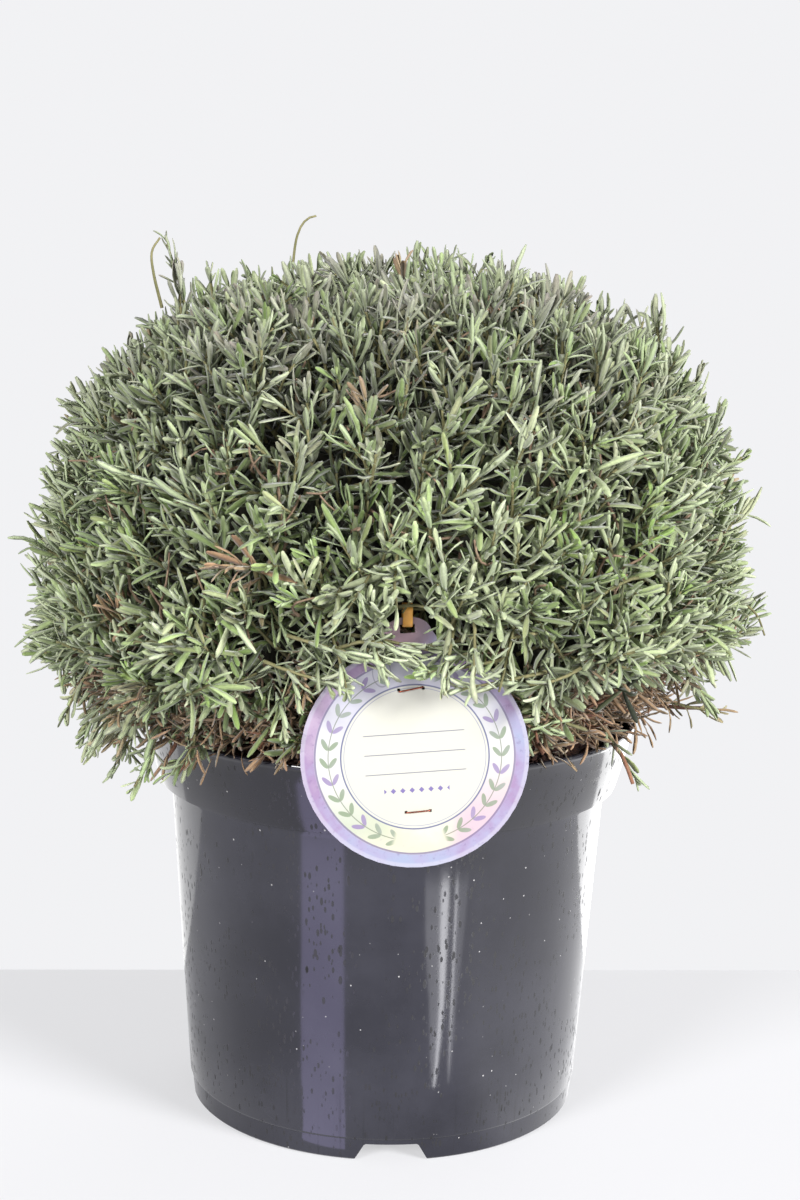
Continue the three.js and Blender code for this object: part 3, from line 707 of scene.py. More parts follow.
def panel(u, v, radius):
    """Layers of the round panel inside the wreath: its rings, its ruled lines and a row of lozenges."""
    rules = [(v - z).near(0.0, 0.14, 0.18) * u.near(0.0, RULE_HALF, 1.0) * 0.8 for z in RULE_HEIGHTS]
    across = ((u / LOZENGE_STEP).maths("FRACT") - 0.5).maths("ABSOLUTE") * 2.8
    up = ((v - ROW_HEIGHT) / LOZENGE_HALF).maths("ABSOLUTE")
    row = (across + up).step(1.0, 0.7) * u.near(0.0, ROW_HALF, 0.2)
    return (
        (ink(252, 250, 235), radius.step(PANEL_RADIUS + 0.2, PANEL_RADIUS - 0.2) * 0.85),
        (ink(112, 116, 164), radius.near(PANEL_RADIUS, 0.24, 0.2) * 0.9),
        (ink(176, 180, 208), radius.near(INNER_LINE_RADIUS, 0.1, 0.16) * 0.8),
        *((ink(130, 132, 156), rule) for rule in rules),
        (ink(118, 92, 190), row * 0.85),
    )


def card_finish():
    """Satin card: a lilac wash round the edge, a pale wreath of leaves, and a ruled round panel."""
    f = Finish("printed card", {"Roughness": 0.42})
    u, v, y = card_places(f)
    radius, from_top = (u * u + v * v).maths("SQRT"), u.maths("ARCTAN2", v)
    wash, bloom, flecks = f.noise(48.0, 4.0, 0.6), f.noise(19.0, 2.0), f.noise(420.0, 4.0, 0.7)
    # The thin oval cut beside the hanging slot.
    cut = (((u + 12.5) / 4.0) ** 2.0 + ((v - 39.5) / 6.5) ** 2.0).maths("SQRT").near(1.0, 0.045, 0.03)
    tab = f.ramp(bloom * 0.8 + u * 0.02, (0.3, ink(226, 190, 206)), (0.55, ink(190, 186, 222)))
    colour = f.layered(
        washes(f, u, v, wash, bloom, flecks),
        (border(f, u, v, radius, wash, bloom, flecks), radius.step(BORDER_RADIUS + 0.1, BORDER_RADIUS + 0.7)),
        (ink(132, 116, 164), radius.near(BORDER_RADIUS, 0.3, 0.25) * 0.8),
        *wreath(f, from_top, radius, wash),
        *panel(u, v, radius),
        (tab, v.step(49.0, 52.0)),
        (ink(160, 154, 172), cut * 0.6),
    )
    back = f.mix(ink(240, 238, 236), ink(226, 224, 222), wash)
    f.dress(base_color=f.mix(back, colour, y.step((LABEL_Y + 0.1) * MM, (LABEL_Y - 0.1) * MM)))
    f.bump(f.noise(1400.0, 2.0), 0.00004, 0.4)
    return f


def plain_finish(name, colour, shade, scale, surface):
    """A small part's colour with faint cloudy wear."""
    f = Finish(name, surface)
    wear = f.noise(scale, 4.0, 0.6)
    f.dress(base_color=f.mix(colour, shade, wear.step(0.4, 0.75)))
    f.bump(wear, 0.0001, 0.5)
    return f


# ---- Pot ----

FOOT_RADIUS, BODY_TOP_RADIUS = 100.0, 111.0
BAND_BOTTOM, BAND_BOTTOM_RADIUS = 168.0, 117.0
WALL = 2.2
FOOT_BAND, FOOT_SET_BACK, FOOT_WIDTH, FLOOR_UNDERSIDE = 11.0, 0.8, 3.4, 9.4
# The lip's section: how far out from the rim's radius, and how high.
LIP = [(-0.3, 199.6), (0.25, 200.2), (0.4, 201.0), (0.15, 201.7), (-0.4, 202.0), (-1.5, 202.0), (-2.0, 201.6)]
NOTCH_TOP, NOTCH_BOTTOM, NOTCH_HEIGHT = 25.7, 35.5, 8.5
DRAIN_RING, DRAIN_RADIUS, DRAIN_SIDES = 72, 6.5, 24
POT_SEGMENTS = 256


def body_radius(z):
    return FOOT_RADIUS + (BODY_TOP_RADIUS - FOOT_RADIUS) * z / BAND_BOTTOM


def band_radius(z):
    share = (z - BAND_BOTTOM) / (RIM_HEIGHT - BAND_BOTTOM)
    return BAND_BOTTOM_RADIUS + (RIM_RADIUS - BAND_BOTTOM_RADIUS) * share


def finished(made, name):
    bmesh.ops.recalc_face_normals(made, faces=made.faces)
    mesh = bpy.data.meshes.new(name)
    made.to_mesh(mesh)
    made.free()
    return mesh


def turned(name, profile, segments):
    """A mesh turned round z from a closed profile of (radius, height); its ends lie on the axis."""
    made = bmesh.new()
    rings = []
    for radius, height in profile:
        bearings = evenly_round(segments) if radius else np.zeros(1)
        rings.append([made.verts.new(point) for point in polar(radius, bearings, height) * MM])
    for a, b in zip(rings, rings[1:]):
        for k in range(segments):
            n = (k + 1) % segments
            corners = [a[k % len(a)], a[n % len(a)], b[n % len(b)], b[k % len(b)]]
            made.faces.new(list(dict.fromkeys(corners)))
    return finished(made, name)


def cut_away(thing, cutters):
    """Cuts closed meshes out of a thing for good."""
    for cutter in cutters:
        tool = put_in_scene("cutter", cutter)
        step = thing.modifiers.new("cut", "BOOLEAN")
        step.object, step.operation, step.solver = tool, "DIFFERENCE", "EXACT"
        graph = bpy.context.evaluated_depsgraph_get()
        done = bpy.data.meshes.new_from_object(thing.evaluated_get(graph))
        thing.modifiers.clear()
        thing.data = done
        bpy.data.objects.remove(tool)


def prism(low, high, turn=0.0):
    """A closed prism between two outlines of as many points, turned round z."""
    made = bmesh.new()
    low, high = ([made.verts.new(Vector(point) * MM) for point in outline] for outline in (low, high))
    made.faces.new(low[::-1])
    made.faces.new(high)
    for k in range(len(low)):
        n = (k + 1) % len(low)
        made.faces.new((low[k], low[n], high[n], high[k]))
    bmesh.ops.rotate(made, verts=made.verts, matrix=Matrix.Rotation(turn, 3, "Z"))
    return finished(made, "prism")


def pot_profile():
    foot = body_radius(0) - FOOT_SET_BACK
    inside = foot - FOOT_WIDTH
    return [
        (0, FLOOR_UNDERSIDE), (inside - 1, FLOOR_UNDERSIDE), (inside, FLOOR_UNDERSIDE - 1),
        (inside, 0.5), (inside + 0.5, 0), (foot - 0.7, 0), (foot - 0.1, 0.6),
        (body_radius(FOOT_BAND) - FOOT_SET_BACK, FOOT_BAND - 0.3),
        (body_radius(FOOT_BAND) - 0.3, FOOT_BAND + 0.2),
        *((body_radius(z), z) for z in (FOOT_BAND + 1, 40, 80, 120, 150, 164, 166.8)),
        (body_radius(167.5) + 0.3, 167.6), (body_radius(168) + 1.0, 168),
        (BAND_BOTTOM_RADIUS - 0.9, 168), (BAND_BOTTOM_RADIUS - 0.25, 168.3),
        (BAND_BOTTOM_RADIUS + 0.05, 169.1),
        *((band_radius(z), z) for z in (176, 184, 192, 198.6)),
        *((RIM_RADIUS + out, z) for out, z in LIP),
        (band_radius(200) - WALL, 200.6), (band_radius(170.2) - WALL, 170.2),
        (body_radius(165.8) - WALL, 165.8), (body_radius(13) - WALL, 13.5),
        (body_radius(12) - WALL - 2, FLOOR_UNDERSIDE + WALL), (0, FLOOR_UNDERSIDE + WALL),
    ]


def notch(turn):
    """A foot notch's cutter: wider at the bottom, with its upper corners cut off."""
    low, high, top = NOTCH_BOTTOM / 2, NOTCH_TOP / 2, NOTCH_HEIGHT
    half = [(low + (low - high) / top, -1), (high + 0.5, top - 0.6), (high - 0.5, top)]
    outline = half + [(-x, z) for x, z in half[::-1]]
    return prism([(x, -108, z) for x, z in outline], [(x, -88, z) for x, z in outline], turn)


def drain(bearing):
    x, y = DRAIN_RING * math.cos(bearing), DRAIN_RING * math.sin(bearing)
    outline = polar(DRAIN_RADIUS, evenly_round(DRAIN_SIDES), 0.0)
    return prism(outline + [x, y, 5], outline + [x, y, 15])


def make_pot():
    mesh = turned("nursery_pot", pot_profile(), POT_SEGMENTS)
    pot = place_piece(mesh, FINISHES["pot"], ["pot"])
    cutters = [notch(k * QUARTER) for k in range(4)] + [drain((k + 0.5) * QUARTER) for k in range(4)]
    cut_away(pot, cutters)
    pot.data.polygons.foreach_set("use_smooth", np.ones(len(pot.data.polygons), bool))
    pot.data.set_sharp_from_angle(angle=math.radians(38))


# ---- Soil, wood and thatch ----


PEAT_TOP, PEAT_DIP, PEAT_FLOOR = 198, 4.5, 12.2


def peat_height(share):
    """How high the peat stands, without its lumps, at a share of the way out from its middle."""
    return PEAT_TOP - PEAT_DIP * share**2


def make_soil(rng):
    """Peat with an uneven, crumbly top, down to the pot's floor."""
    sides, rings = 128, 26
    edge = band_radius(193) - WALL - 1.2
    share = np.linspace(0.02, 1, rings)
    side = [edge, body_radius(160) - WALL - 1.3, body_radius(13) - WALL - 1.3, 1.0]
    radii = np.concatenate([edge * share, side])[:, None]
    heights = np.concatenate([peat_height(share), [186, 160, PEAT_FLOOR, PEAT_FLOOR]])[:, None]
    rough = rng.normal(0, 0.5, (len(radii), sides))
    points = polar(radii, evenly_round(sides), heights)
    x, y = points[..., 0], points[..., 1]
    swell = 1.5 * np.sin(x * 0.09 + 1) * np.cos(y * 0.11) + 0.8 * np.sin((x + y) * 0.27)
    swell = swell + 0.6 * np.sin(x * 0.5) * np.sin(y * 0.45)
    points[:rings, :, 2] += (swell + rough)[:rings]
    heap = Heap().put(points.reshape(-1, 3), inside_out(skin(len(radii), sides)))
    # Crumbs of peat and bark on top, most of them near the rim where they show.
    count = 1500
    share = np.sqrt(rng.uniform(0.25, 0.96, count))
    bearing = rng.uniform(0, ROUND, count)
    centre = polar(edge * share, bearing, peat_height(share) + rng.uniform(-1, 1.5, count))
    corners = np.array([[x, y, z] for z in (-1, 1) for y in (-1, 1) for x in (-1, 1)], float)
    size = rng.uniform(0.6, 2.6, (count, 1, 1)) * rng.uniform(0.5, 1.3, (count, 8, 3))
    spin = np.linalg.qr(rng.normal(0, 1, (count, 3, 3)))[0]
    crumb = np.einsum("nij,nkj->nki", spin, corners * size)
    box = np.array([[0, 2, 3, 1], [4, 5, 7, 6], [0, 1, 5, 4], [2, 6, 7, 3], [0, 4, 6, 2], [1, 3, 7, 5]])
    heap.put((centre[:, None] + crumb).reshape(-1, 3), repeated(box, count, len(corners)))
    heap.make("peat", FINISHES["peat"], "soil", ["soil"], smooth=False)


def bent(rng, start, end, steps, wander):
    """Paths from starts to ends, each with a smooth wander of its own."""
    t = np.linspace(0, 1, steps)[None, :, None]
    one, two = rng.normal(0, wander, (2, len(start), 1, 3))
    straight = start[:, None] * (1 - t) + end[:, None] * t
    return straight + one * np.sin(math.pi * t) + two * np.sin(ROUND * t) * 0.5


# Low dry shoots that lean out over the rim: bearing in degrees, then (radius, height) along each.
SIDE_SHOOTS = [
    (-7, [(60, 208), (112, 214), (140, 208), (166, 208)]),
    (-40, [(60, 207), (108, 213), (134, 206), (146, 188)]),
    (-62, [(55, 207), (98, 213), (122, 215), (138, 210)]),
    (-118, [(55, 207), (98, 213), (124, 216), (140, 212)]),
    (-141, [(60, 207), (104, 213), (130, 211), (141, 196)]),
    (172, [(60, 208), (106, 214), (130, 211), (142, 190)]),
    (128, [(55, 207), (100, 213), (126, 214), (142, 204)]),
    (64, [(55, 207), (100, 213), (126, 214), (143, 204)]),
]


def along_points(points, steps):
    """A smooth path through a few points, in even steps."""
    points = np.array(points, float)
    knots = np.concatenate([[0], np.cumsum(np.linalg.norm(np.diff(points, axis=0), axis=1))])
    padded = np.concatenate([[2 * points[0] - points[1]], points, [2 * points[-1] - points[-2]]])
    path = []
    for s in np.linspace(0, knots[-1], steps):
        k = min(np.searchsorted(knots, s, "right") - 1, len(points) - 2)
        t = (s - knots[k]) / (knots[k + 1] - knots[k])
        a, b, c, d = padded[k : k + 4]
        bow = (2 * a - 5 * b + 4 * c - d) * t**2 + (3 * b - a - 3 * c + d) * t**3
        path.append(0.5 * (2 * b + (c - a) * t + bow))
    return np.array(path)


def make_wood(rng):
    """The trunk, its branches up into the dome, and the twigs under the dome's skirt."""
    trunk = along_points([(2, 1, 150), (0, 0, 184), (1, 0, 216)], 8)[None]
    heap = Heap().put(*tubes(trunk, np.linspace(9, 6, 8), 16))
    count = 46
    bearing = (np.arange(count) + rng.uniform(-0.3, 0.3, count)) * ROUND / count
    reach, top = rng.uniform(70, 128, count), rng.uniform(222, 285, count)
    path = bent(rng, polar(6, bearing, 204.0), polar(reach, bearing, top), 12, 5)
    path[..., 2] = np.maximum(path[..., 2] + np.sin(np.linspace(0, math.pi, 12)) * -6, 204)
    heap.put(*tubes(path, np.linspace(3.4, 1.2, 12) * rng.uniform(0.7, 1.1, (count, 1)), 8))
    # Thin twigs that fan out of the mat towards the skirt; some of them hang over the rim.
    count = 620
    bearing = rng.uniform(0, ROUND, count)
    near = rng.uniform(40, 105, count)
    far = near + rng.uniform(18, 60, count)
    start_height, height = rng.uniform(206, 232, count), rng.uniform(206, 248, count)
    hanging = (far > 134) & (rng.uniform(0, 1, count) < 0.35)
    low = 168 + 26 * (1 - skirt_drop(bearing))
    height = np.where(hanging, low + rng.uniform(14, 34, count), height)
    far = np.where(height < 206, np.clip(far, 136, 146), np.minimum(far, 152))
    behind_label = np.abs(bearing - 3 * QUARTER) < 0.42
    far = np.where(behind_label, np.minimum(far, 142), far)
    spread = bearing + rng.normal(0, 0.16, count)
    path = bent(rng, polar(near, bearing, start_height), polar(far, spread, height), 8, 3.0)
    at_rim = (np.hypot(path[..., 0], path[..., 1]) < RIM_RADIUS + 5) & (path[..., 2] < RIM_HEIGHT + 3)
    path[at_rim, 2] = RIM_HEIGHT + 3
    heap.put(*tubes(path, np.linspace(1.1, 0.55, 8) * rng.uniform(0.6, 1.2, (count, 1)), 5))
    for degrees, reach in SIDE_SHOOTS:
        radius, height = np.array([(2, 207), *reach], float).T
        path = along_points(polar(radius, math.radians(degrees), height), 22)[None]
        path = path + rng.normal(0, 0.35, path.shape)
        heap.put(*tubes(path, np.linspace(2.1, 0.9, 22), 7))
    heap.make("twigs_and_trunk", FINISHES["wood"], "woody_stem", ["woody_stems"])


def withered(rng, root, direction, length, width, bend, light):
    """Curled dry leaves, with their lengths, widths and painted light drawn from (least, most); low painted
    light is painted shade.
    """
    count = len(root)
    return Leaves(
        root, unit(direction), unit(rng.normal(0, 1, (count, 3))), rng.uniform(*length, count),
        rng.uniform(*width, count), rng.normal(0, bend, count), rng.normal(0, 1.2, count),
        sage=rng.uniform(0.2, 0.6, count), fresh=np.zeros(count), blush=np.zeros(count),
        dry=rng.uniform(0.8, 1.0, count), light=rng.uniform(*light, count),
    )


def make_thatch(rng):
    """Withered leaves: a loose mat under the dome, and curled leaves that hang at its lower edge."""
    count = 4200
    bearing = rng.uniform(0, ROUND, count)
    radius = 132 * np.sqrt(rng.uniform(0.2, 1, count))
    root = polar(radius, bearing, rng.uniform(205, 236, count))
    direction = rng.normal(0, 1, (count, 3)) * [1, 1, 0.7] + polar(1, bearing, -0.1) * 0.8
    # Painted shade: the mat under the dome is darkened, down to half.
    mat = withered(rng, root, direction, length=(8, 19), width=(1.1, 2.2), bend=0.35, light=(0.5, 1.0))
    count = 950
    bearing = rng.uniform(0, ROUND, count)
    height = rng.uniform(212 - 15 * skirt_drop(bearing), 240)
    root = polar(rng.uniform(118, 143, count), bearing, height)
    outward = polar(1, bearing, rng.uniform(-1.2, 0.4, count))
    direction = outward + rng.normal(0, 0.5, (count, 3))
    fringe = withered(rng, root, direction, length=(8, 18), width=(1.2, 2.4), bend=0.4, light=(0.65, 1.0))
    # Behind the lowest green leaves, all round the skirt.
    count = 9000
    rise, bearing = rng.uniform(-0.75, 0.0, count), rng.uniform(0, ROUND, count)
    d = aimed(rise, bearing)
    root = dome(d, rng.uniform(13, 30, count))
    kept = rng.uniform(0, 1, count) < lowness(root) ** 0.7
    direction = rng.normal(0, 1, (kept.sum(), 3)) + d[kept] * 0.5
    root = root[kept]
    # Painted shade: the lining behind the skirt's lowest leaves is darkened further.
    lining = withered(rng, root, direction, length=(7, 15), width=(1.1, 2.2), bend=0.4, light=(0.35, 0.9))
    leaves = clear_of_the_label(together([mat, fringe, lining]))
    make_in_sectors("withered_leaves", leaves, 3, "woody_stem", "woody_stems")


# ---- Living foliage ----


def lowness(points):
    """0 on the dome's flanks and top, rising to 1 at its lower edge."""
    drop = skirt_drop(np.arctan2(points[:, 1], points[:, 0]))
    return smooth_step(points[:, 2] + 20 * drop, 262, 220)


def live_looks(rng, points, depth):
    """How sage, fresh, blushed and dry the leaves are at each shoot, by its place in the dome, and how much
    painted shade darkens them.
    """
    count = len(points)
    swell = clumps(points * 0.4)
    high = smooth_step(points[:, 2], 310, 425)
    low = lowness(points)
    inner = smooth_step(depth, 8, 30)
    sage = 0.58 + 0.26 * swell + 0.04 * high - 0.25 * inner + rng.normal(0, 0.25, count)
    young = rng.uniform(0, 1, count) < 0.14
    fresh = 0.12 + 0.34 * inner - 0.1 * high + 0.45 * young + rng.normal(0, 0.1, count)
    blush = 0.7 * high * (rng.uniform(0, 1, count) < 0.3) + 0.05
    dry = np.where(rng.uniform(0, 1, count) < 0.02 + 0.26 * low, rng.uniform(0.25, 0.9, count), 0.0)
    # Painted shade: leaves deep in the dome and near its top are darkened.
    light = 1.0 - 0.6 * inner - 0.3 * high
    looks = {"sage": sage, "fresh": fresh, "blush": blush, "dry": dry, "light": light}
    return {k: np.clip(v * np.ones(count), 0, 1) for k, v in looks.items()}


def crevices(points):
    """1 in the dark gaps between the clumps of shoots, 0 elsewhere."""
    return smooth_step(clumps(points * 0.62 + 40), 0.42, 0.8)


def dome_shoots(rng, tries, spacing, lowest, inset, stem, joints, leaf, lean):
    """Shoots all over the dome, as long as the stem, with their tips about as deep as the inset."""
    d = spread_over(rng, tries, spacing, lowest)
    d = d[rng.uniform(0, 1, len(d)) > 0.42 * lowness(dome(d))]
    surface = dome(d)
    normal = dome_normal(d)
    outer = inset < 15
    depth = inset + rng.gamma(1.6, 2.4, len(d))
    depth = depth + outer * (5.5 * (1 - clumps(surface)) + 17 * crevices(surface) - 1.5)
    depth = depth - outer * (rng.uniform(0, 1, len(d)) < 0.08) * rng.uniform(4, 12, len(d))
    tips = surface - normal * depth[:, None]
    rise = smooth_step(d[:, 2], -0.3, 0.1) * 0.85 - 0.2
    axes = unit(normal + UP * rise[:, None] + rng.normal(0, 0.3, (len(d), 3)))
    lengths = stem * rng.uniform(0.8, 1.25, len(d))
    looks = live_looks(rng, surface, depth)
    return grow(rng, tips, axes, lengths, joints, leaf, lean, looks, curve=0.16)


def thin_twigs(rng, count, highest):
    """Bare twigs that wander out through the dome, just under its leaves."""
    rise = rng.uniform(-0.6, highest, count)
    d = aimed(rise, rng.uniform(0, ROUND, count))
    end = dome(unit(d + rng.normal(0, 0.11, d.shape) + UP * 0.05), rng.uniform(7, 17, count))
    return bent(rng, dome(d, 34.0), end, 9, 4.5)


def clear_paths(paths):
    """The stems that stay out of the card and the pot."""
    x, y, z = np.moveaxis(paths, -1, 0)
    beside = np.hypot(x - LABEL_X, z - LABEL_Z) < LABEL_RADIUS + STEM_CARD_GAP
    at_card = beside & (y < LABEL_Y + 4)
    over_the_top = (z > LABEL_Z + STEM_OVERHANG) & (y < LABEL_Y - FRONT_GAP)
    in_pot = (np.hypot(x, y) < RIM_RADIUS + STEM_RIM_GAP) & (z < RIM_HEIGHT + 2)
    return paths[~(at_card & ~over_the_top | in_pot).any(1)]


# Shoots that stand out of the dome or hang from it: tip, foot and how many leaf pairs.
TALL_SHOOTS = [
    ((-114, -7, 436), (-98, -6, 374), 10),
    ((-107, -12, 421), (-96, -10, 376), 8),
    ((-92, -33, 422), (-84, -30, 380), 7),
    ((129, -12, 394), (112, -10, 358), 7),
    ((152, -6, 378), (136, -6, 344), 6),
    ((178, 4, 334), (150, 4, 306), 6),
    ((-146, -64, 198), (-128, -52, 240), 7),
    ((-151, -9, 188), (-134, -8, 234), 7),
    ((-146, 34, 190), (-130, 30, 236), 6),
    ((-118, -96, 196), (-106, -86, 232), 6),
    ((113, -90, 190), (96, -84, 216), 5),
    ((166, -24, 207), (138, -20, 212), 5),
    ((158, -36, 214), (140, -30, 240), 6),
    # Over the top edge of the card.
    ((24, -156, 274), (33, -140, 302), 5),
    ((14, -169, 252), (20, -156, 288), 8),
    ((-12, -168, 258), (-20, -156, 290), 7),
    ((-28, -168, 250), (-38, -152, 280), 8),
    ((38, -169, 249), (46, -152, 280), 8),
    ((54, -164, 240), (64, -148, 266), 7),
    ((-48, -163, 242), (-60, -146, 266), 7),
    ((27, -170, 256), (26, -156, 294), 6),
    ((-14, -162, 262), (-54, -156, 271), 10),
    ((20, -162, 263), (56, -155, 273), 10),
    ((3, -164, 260), (-32, -159, 266), 8),
    ((7, -165, 257), (42, -158, 262), 8),
    ((-30, -163, 251), (-64, -154, 259), 8),
    ((46, -161, 251), (76, -153, 257), 8),
    ((22, -166, 250), (60, -157, 256), 8),
    ((8, -161, 266), (-28, -157, 272), 9),
    ((-8, -161, 264), (28, -157, 271), 9),
    ((2, -162, 259), (-20, -160, 266), 6),
    # Beside the top of the card.
    ((-44, -157, 240), (-54, -142, 266), 9),
    ((-55, -155, 230), (-64, -139, 256), 9),
    ((-36, -160, 250), (-46, -146, 276), 9),
    # Over the pot's rim at the left.
    ((-134, -80, 192), (-120, -68, 226), 7),
    ((-124, -98, 186), (-112, -84, 220), 7),
    ((-106, -108, 196), (-96, -98, 226), 6),
    ((-152, -40, 196), (-136, -34, 232), 7),
    ((-158, -70, 214), (-138, -62, 244), 6),
    ((-143, -92, 204), (-126, -80, 236), 7),
]

# Bare: the tall flower stalk, a short one at the left, one that droops at the right, and the twig
# that carries the label.
STALKS = [
    [(-54, 0, 396), (-52, 0, 428), (-50, 0, 441), (-46, 0, 448), (-41, 0, 450)],
    [(-116, -8, 404), (-120, -8, 420), (-121, -8, 431), (-117, -8, 438)],
    [(150, 0, 262), (178, 0, 259), (188, 0, 253), (193, 0, 242)],
    [(-26, -134, 284), (-12, -143.6, 282), (-1, -146.4, 281.6), (10, -147.4, 282), (24, -153, 287)],
]


def make_foliage(rng):
    """The living leaves on their stems, the bare stalks, and the thin twigs among them."""
    grown = [
        dome_shoots(
            rng, tries=9000, spacing=10.8, lowest=-0.72, inset=3.5, stem=36.0,
            joints=7, leaf=(17.5, 2.8), lean=(1.35, 0.42),
        ),
        dome_shoots(
            rng, tries=5200, spacing=14.0, lowest=-0.7, inset=23.0, stem=34.0,
            joints=5, leaf=(18.0, 2.7), lean=(1.35, 0.5),
        ),
    ]
    for tip, foot, pairs in TALL_SHOOTS:
        tip, foot = np.array([tip], float), np.array([foot], float)
        reach = np.linalg.norm(tip - foot, axis=1)
        looks = live_looks(rng, tip, np.array([2.0]))
        shape = {"leaf": (14.5, 2.7), "lean": (1.0, 0.35), "curve": 0.07, "leafy": 0.85}
        grown.append(grow(rng, tip, unit(tip - foot), reach, pairs, looks=looks, **shape))
    leaves, stems = zip(*grown)
    make_in_sectors("leaves", clear_of_the_label(together(leaves)), 7, "leaf", "foliage")
    stems = clear_paths(np.concatenate(stems))
    heap = Heap().put(*tubes(stems, np.linspace(0.95, 0.6, stems.shape[1]), 4))
    for points in STALKS:
        heap.put(*tubes(along_points(points, 18)[None], np.linspace(0.85, 0.5, 18), 6))
    heap.make("green_stems", FINISHES["stem"], "leaf", ["foliage"])
    twigs = clear_paths(np.concatenate([thin_twigs(rng, 420, 1.0), thin_twigs(rng, 420, -0.1)]))
    taper = np.linspace(1.0, 0.5, twigs.shape[1]) * rng.uniform(0.7, 1.05, (len(twigs), 1))
    Heap().put(*tubes(twigs, taper, 5)).make("thin_twigs", FINISHES["twig"], "leaf", ["foliage"])


def make_painted_shade_inside():
    """A dark sheet of painted shade inside the dome, that shows between the leaves."""
    sides, rings, inset, lowest = 96, 60, 42.0, 224.0
    rise = np.cos(np.linspace(0.01, math.pi - 0.01, rings))[:, None]
    points = dome(aimed(rise, evenly_round(sides)).reshape(-1, 3), inset)
    points[:, 2] = np.maximum(points[:, 2], lowest)
    middle = np.array([0, 0, DOME_MIDDLE])
    points = middle + (points - middle) * (1 + 0.03 * clumps(points))[:, None]
    heap = Heap().put(points, inside_out(skin(rings, sides)))
    heap.make("painted_shade_inside", FINISHES["inside"], "leaf", ["foliage"])


# ---- Label, staples and tie ----


WIRE_RADIUS = 0.36
SLOT_HEIGHT = 58.3  # of the slot's middle above the card's middle
# The strap's middle line: y of its front and back, z of its bottom and top, and its corners' radius.
TIE_FRONT, TIE_BACK, TIE_BOTTOM, TIE_TOP, TIE_CORNER = -151.85, -142.65, 274.35, 283.85, 2.55


def in_card(u, v, depth):
    """A place u to the right of the card's middle, v above it and a depth in front of its middle plane."""
    c, s = math.cos(LABEL_TURN), math.sin(LABEL_TURN)
    return (LABEL_X + u * c - v * s, LABEL_Y - depth, LABEL_Z + u * s + v * c)


def make_staple(name, height, tilt):
    """A round wire through the card, its legs folded in behind."""
    half, front, back, bend, fold = 5.3, 1.0, -1.0, 0.4, 0.5
    right = [(half - bend, front), (half, front - bend)]
    right += [(half, back + bend), (half - fold, back), (2.4, back)]
    corners = [(-u, depth) for u, depth in right[::-1]] + right
    path = []
    for (a, da), (b, db) in zip(corners, corners[1:]):
        for t in np.linspace(0, 1, 4, endpoint=False):
            u, d = a + (b - a) * t, da + (db - da) * t
            path.append(in_card(u, height + u * tilt, d))
    path.append(in_card(corners[-1][0], height, corners[-1][1]))
    heap = Heap().put(*tubes(np.array(path)[None], WIRE_RADIUS, 8))
    heap.make(name, FINISHES["wire"], "staple_wire", [name.replace("wire_", "")])


def make_tie():
    """The strap: a flat stiff loop through the card's slot and over the twig."""
    x = LABEL_X - SLOT_HEIGHT * math.sin(LABEL_TURN)
    near, far = TIE_FRONT + TIE_CORNER, TIE_BACK - TIE_CORNER
    low, high = TIE_BOTTOM + TIE_CORNER, TIE_TOP - TIE_CORNER
    loop = []
    for k, (y, z) in enumerate([(near, low), (far, low), (far, high), (near, high)]):
        for turn in np.linspace(0, QUARTER, 7) + (k + 2) * QUARTER:
            loop.append((y + TIE_CORNER * math.cos(turn), z + TIE_CORNER * math.sin(turn)))
    loop = np.array(loop)
    ahead = unit(np.roll(loop, -1, 0) - np.roll(loop, 1, 0))
    out = np.stack([ahead[:, 1], -ahead[:, 0]], -1)
    half = [(-2.2, 0.25), (-1.95, 0.43), (1.95, 0.43), (2.2, 0.25)]
    section = half + [(across, -up) for across, up in half[::-1]]
    points = [(x + across, *(p + n * up)) for p, n in zip(loop, out) for across, up in section]
    heap = Heap().put(np.array(points), skin(len(loop), len(section), closed=True))
    heap.make("strap", FINISHES["strap"], "tie_plastic", ["label_tie"])


# ---- Stage ----

BACKDROP, FLOOR_GLOW, CARD_FADE = (0.885, 0.887, 0.905), (0.52, 0.52, 0.527), (0.8, 0.8, 0.81)
GLOWING = {"Emission Strength": 1.0}
CAMERA_PLACE = Vector((-59.736, -1074.266, 456.501)) * MM
CAMERA_ANGLES = (10.42835, 3.41411, 1.25986)  # pitch down, yaw to the right and roll, in degrees


def soft_sun(name, bearing, height, strength, spread):
    """Light from far away, at a bearing from the front and a height, both in degrees."""
    light = bpy.data.lights.new(name, "SUN")
    light.energy, light.angle = strength, math.radians(spread)
    b, h = math.radians(bearing), math.radians(height)
    away = Vector((math.sin(b) * math.cos(h), -math.cos(b) * math.cos(h), math.sin(h)))
    put_in_scene(name, light).rotation_euler = away.to_track_quat("Z", "Y").to_euler()


def light_card(name, corners, light, fade=None):
    """A glowing card that only the pot's gloss sees; it may fade to the floor between two bearings."""
    mesh = bpy.data.meshes.new(name)
    mesh.from_pydata([Vector(corner) * MM for corner in corners], [], [tuple(range(len(corners)))])
    card = put_in_scene(name, mesh)
    card.visible_camera = card.visible_diffuse = card.visible_shadow = False
    finish = Finish(name, {"Roughness": 1.0, **GLOWING})
    share = 1.0
    if fade:
        x, y, _ = finish.parts_of(finish.place())
        share = x.maths("ARCTAN2", y * -1.0).step(*map(math.radians, fade))
    finish.dress(base_color=(0, 0, 0), emission_color=finish.mix(CARD_FADE, light, share))
    mesh.materials.append(finish.material)


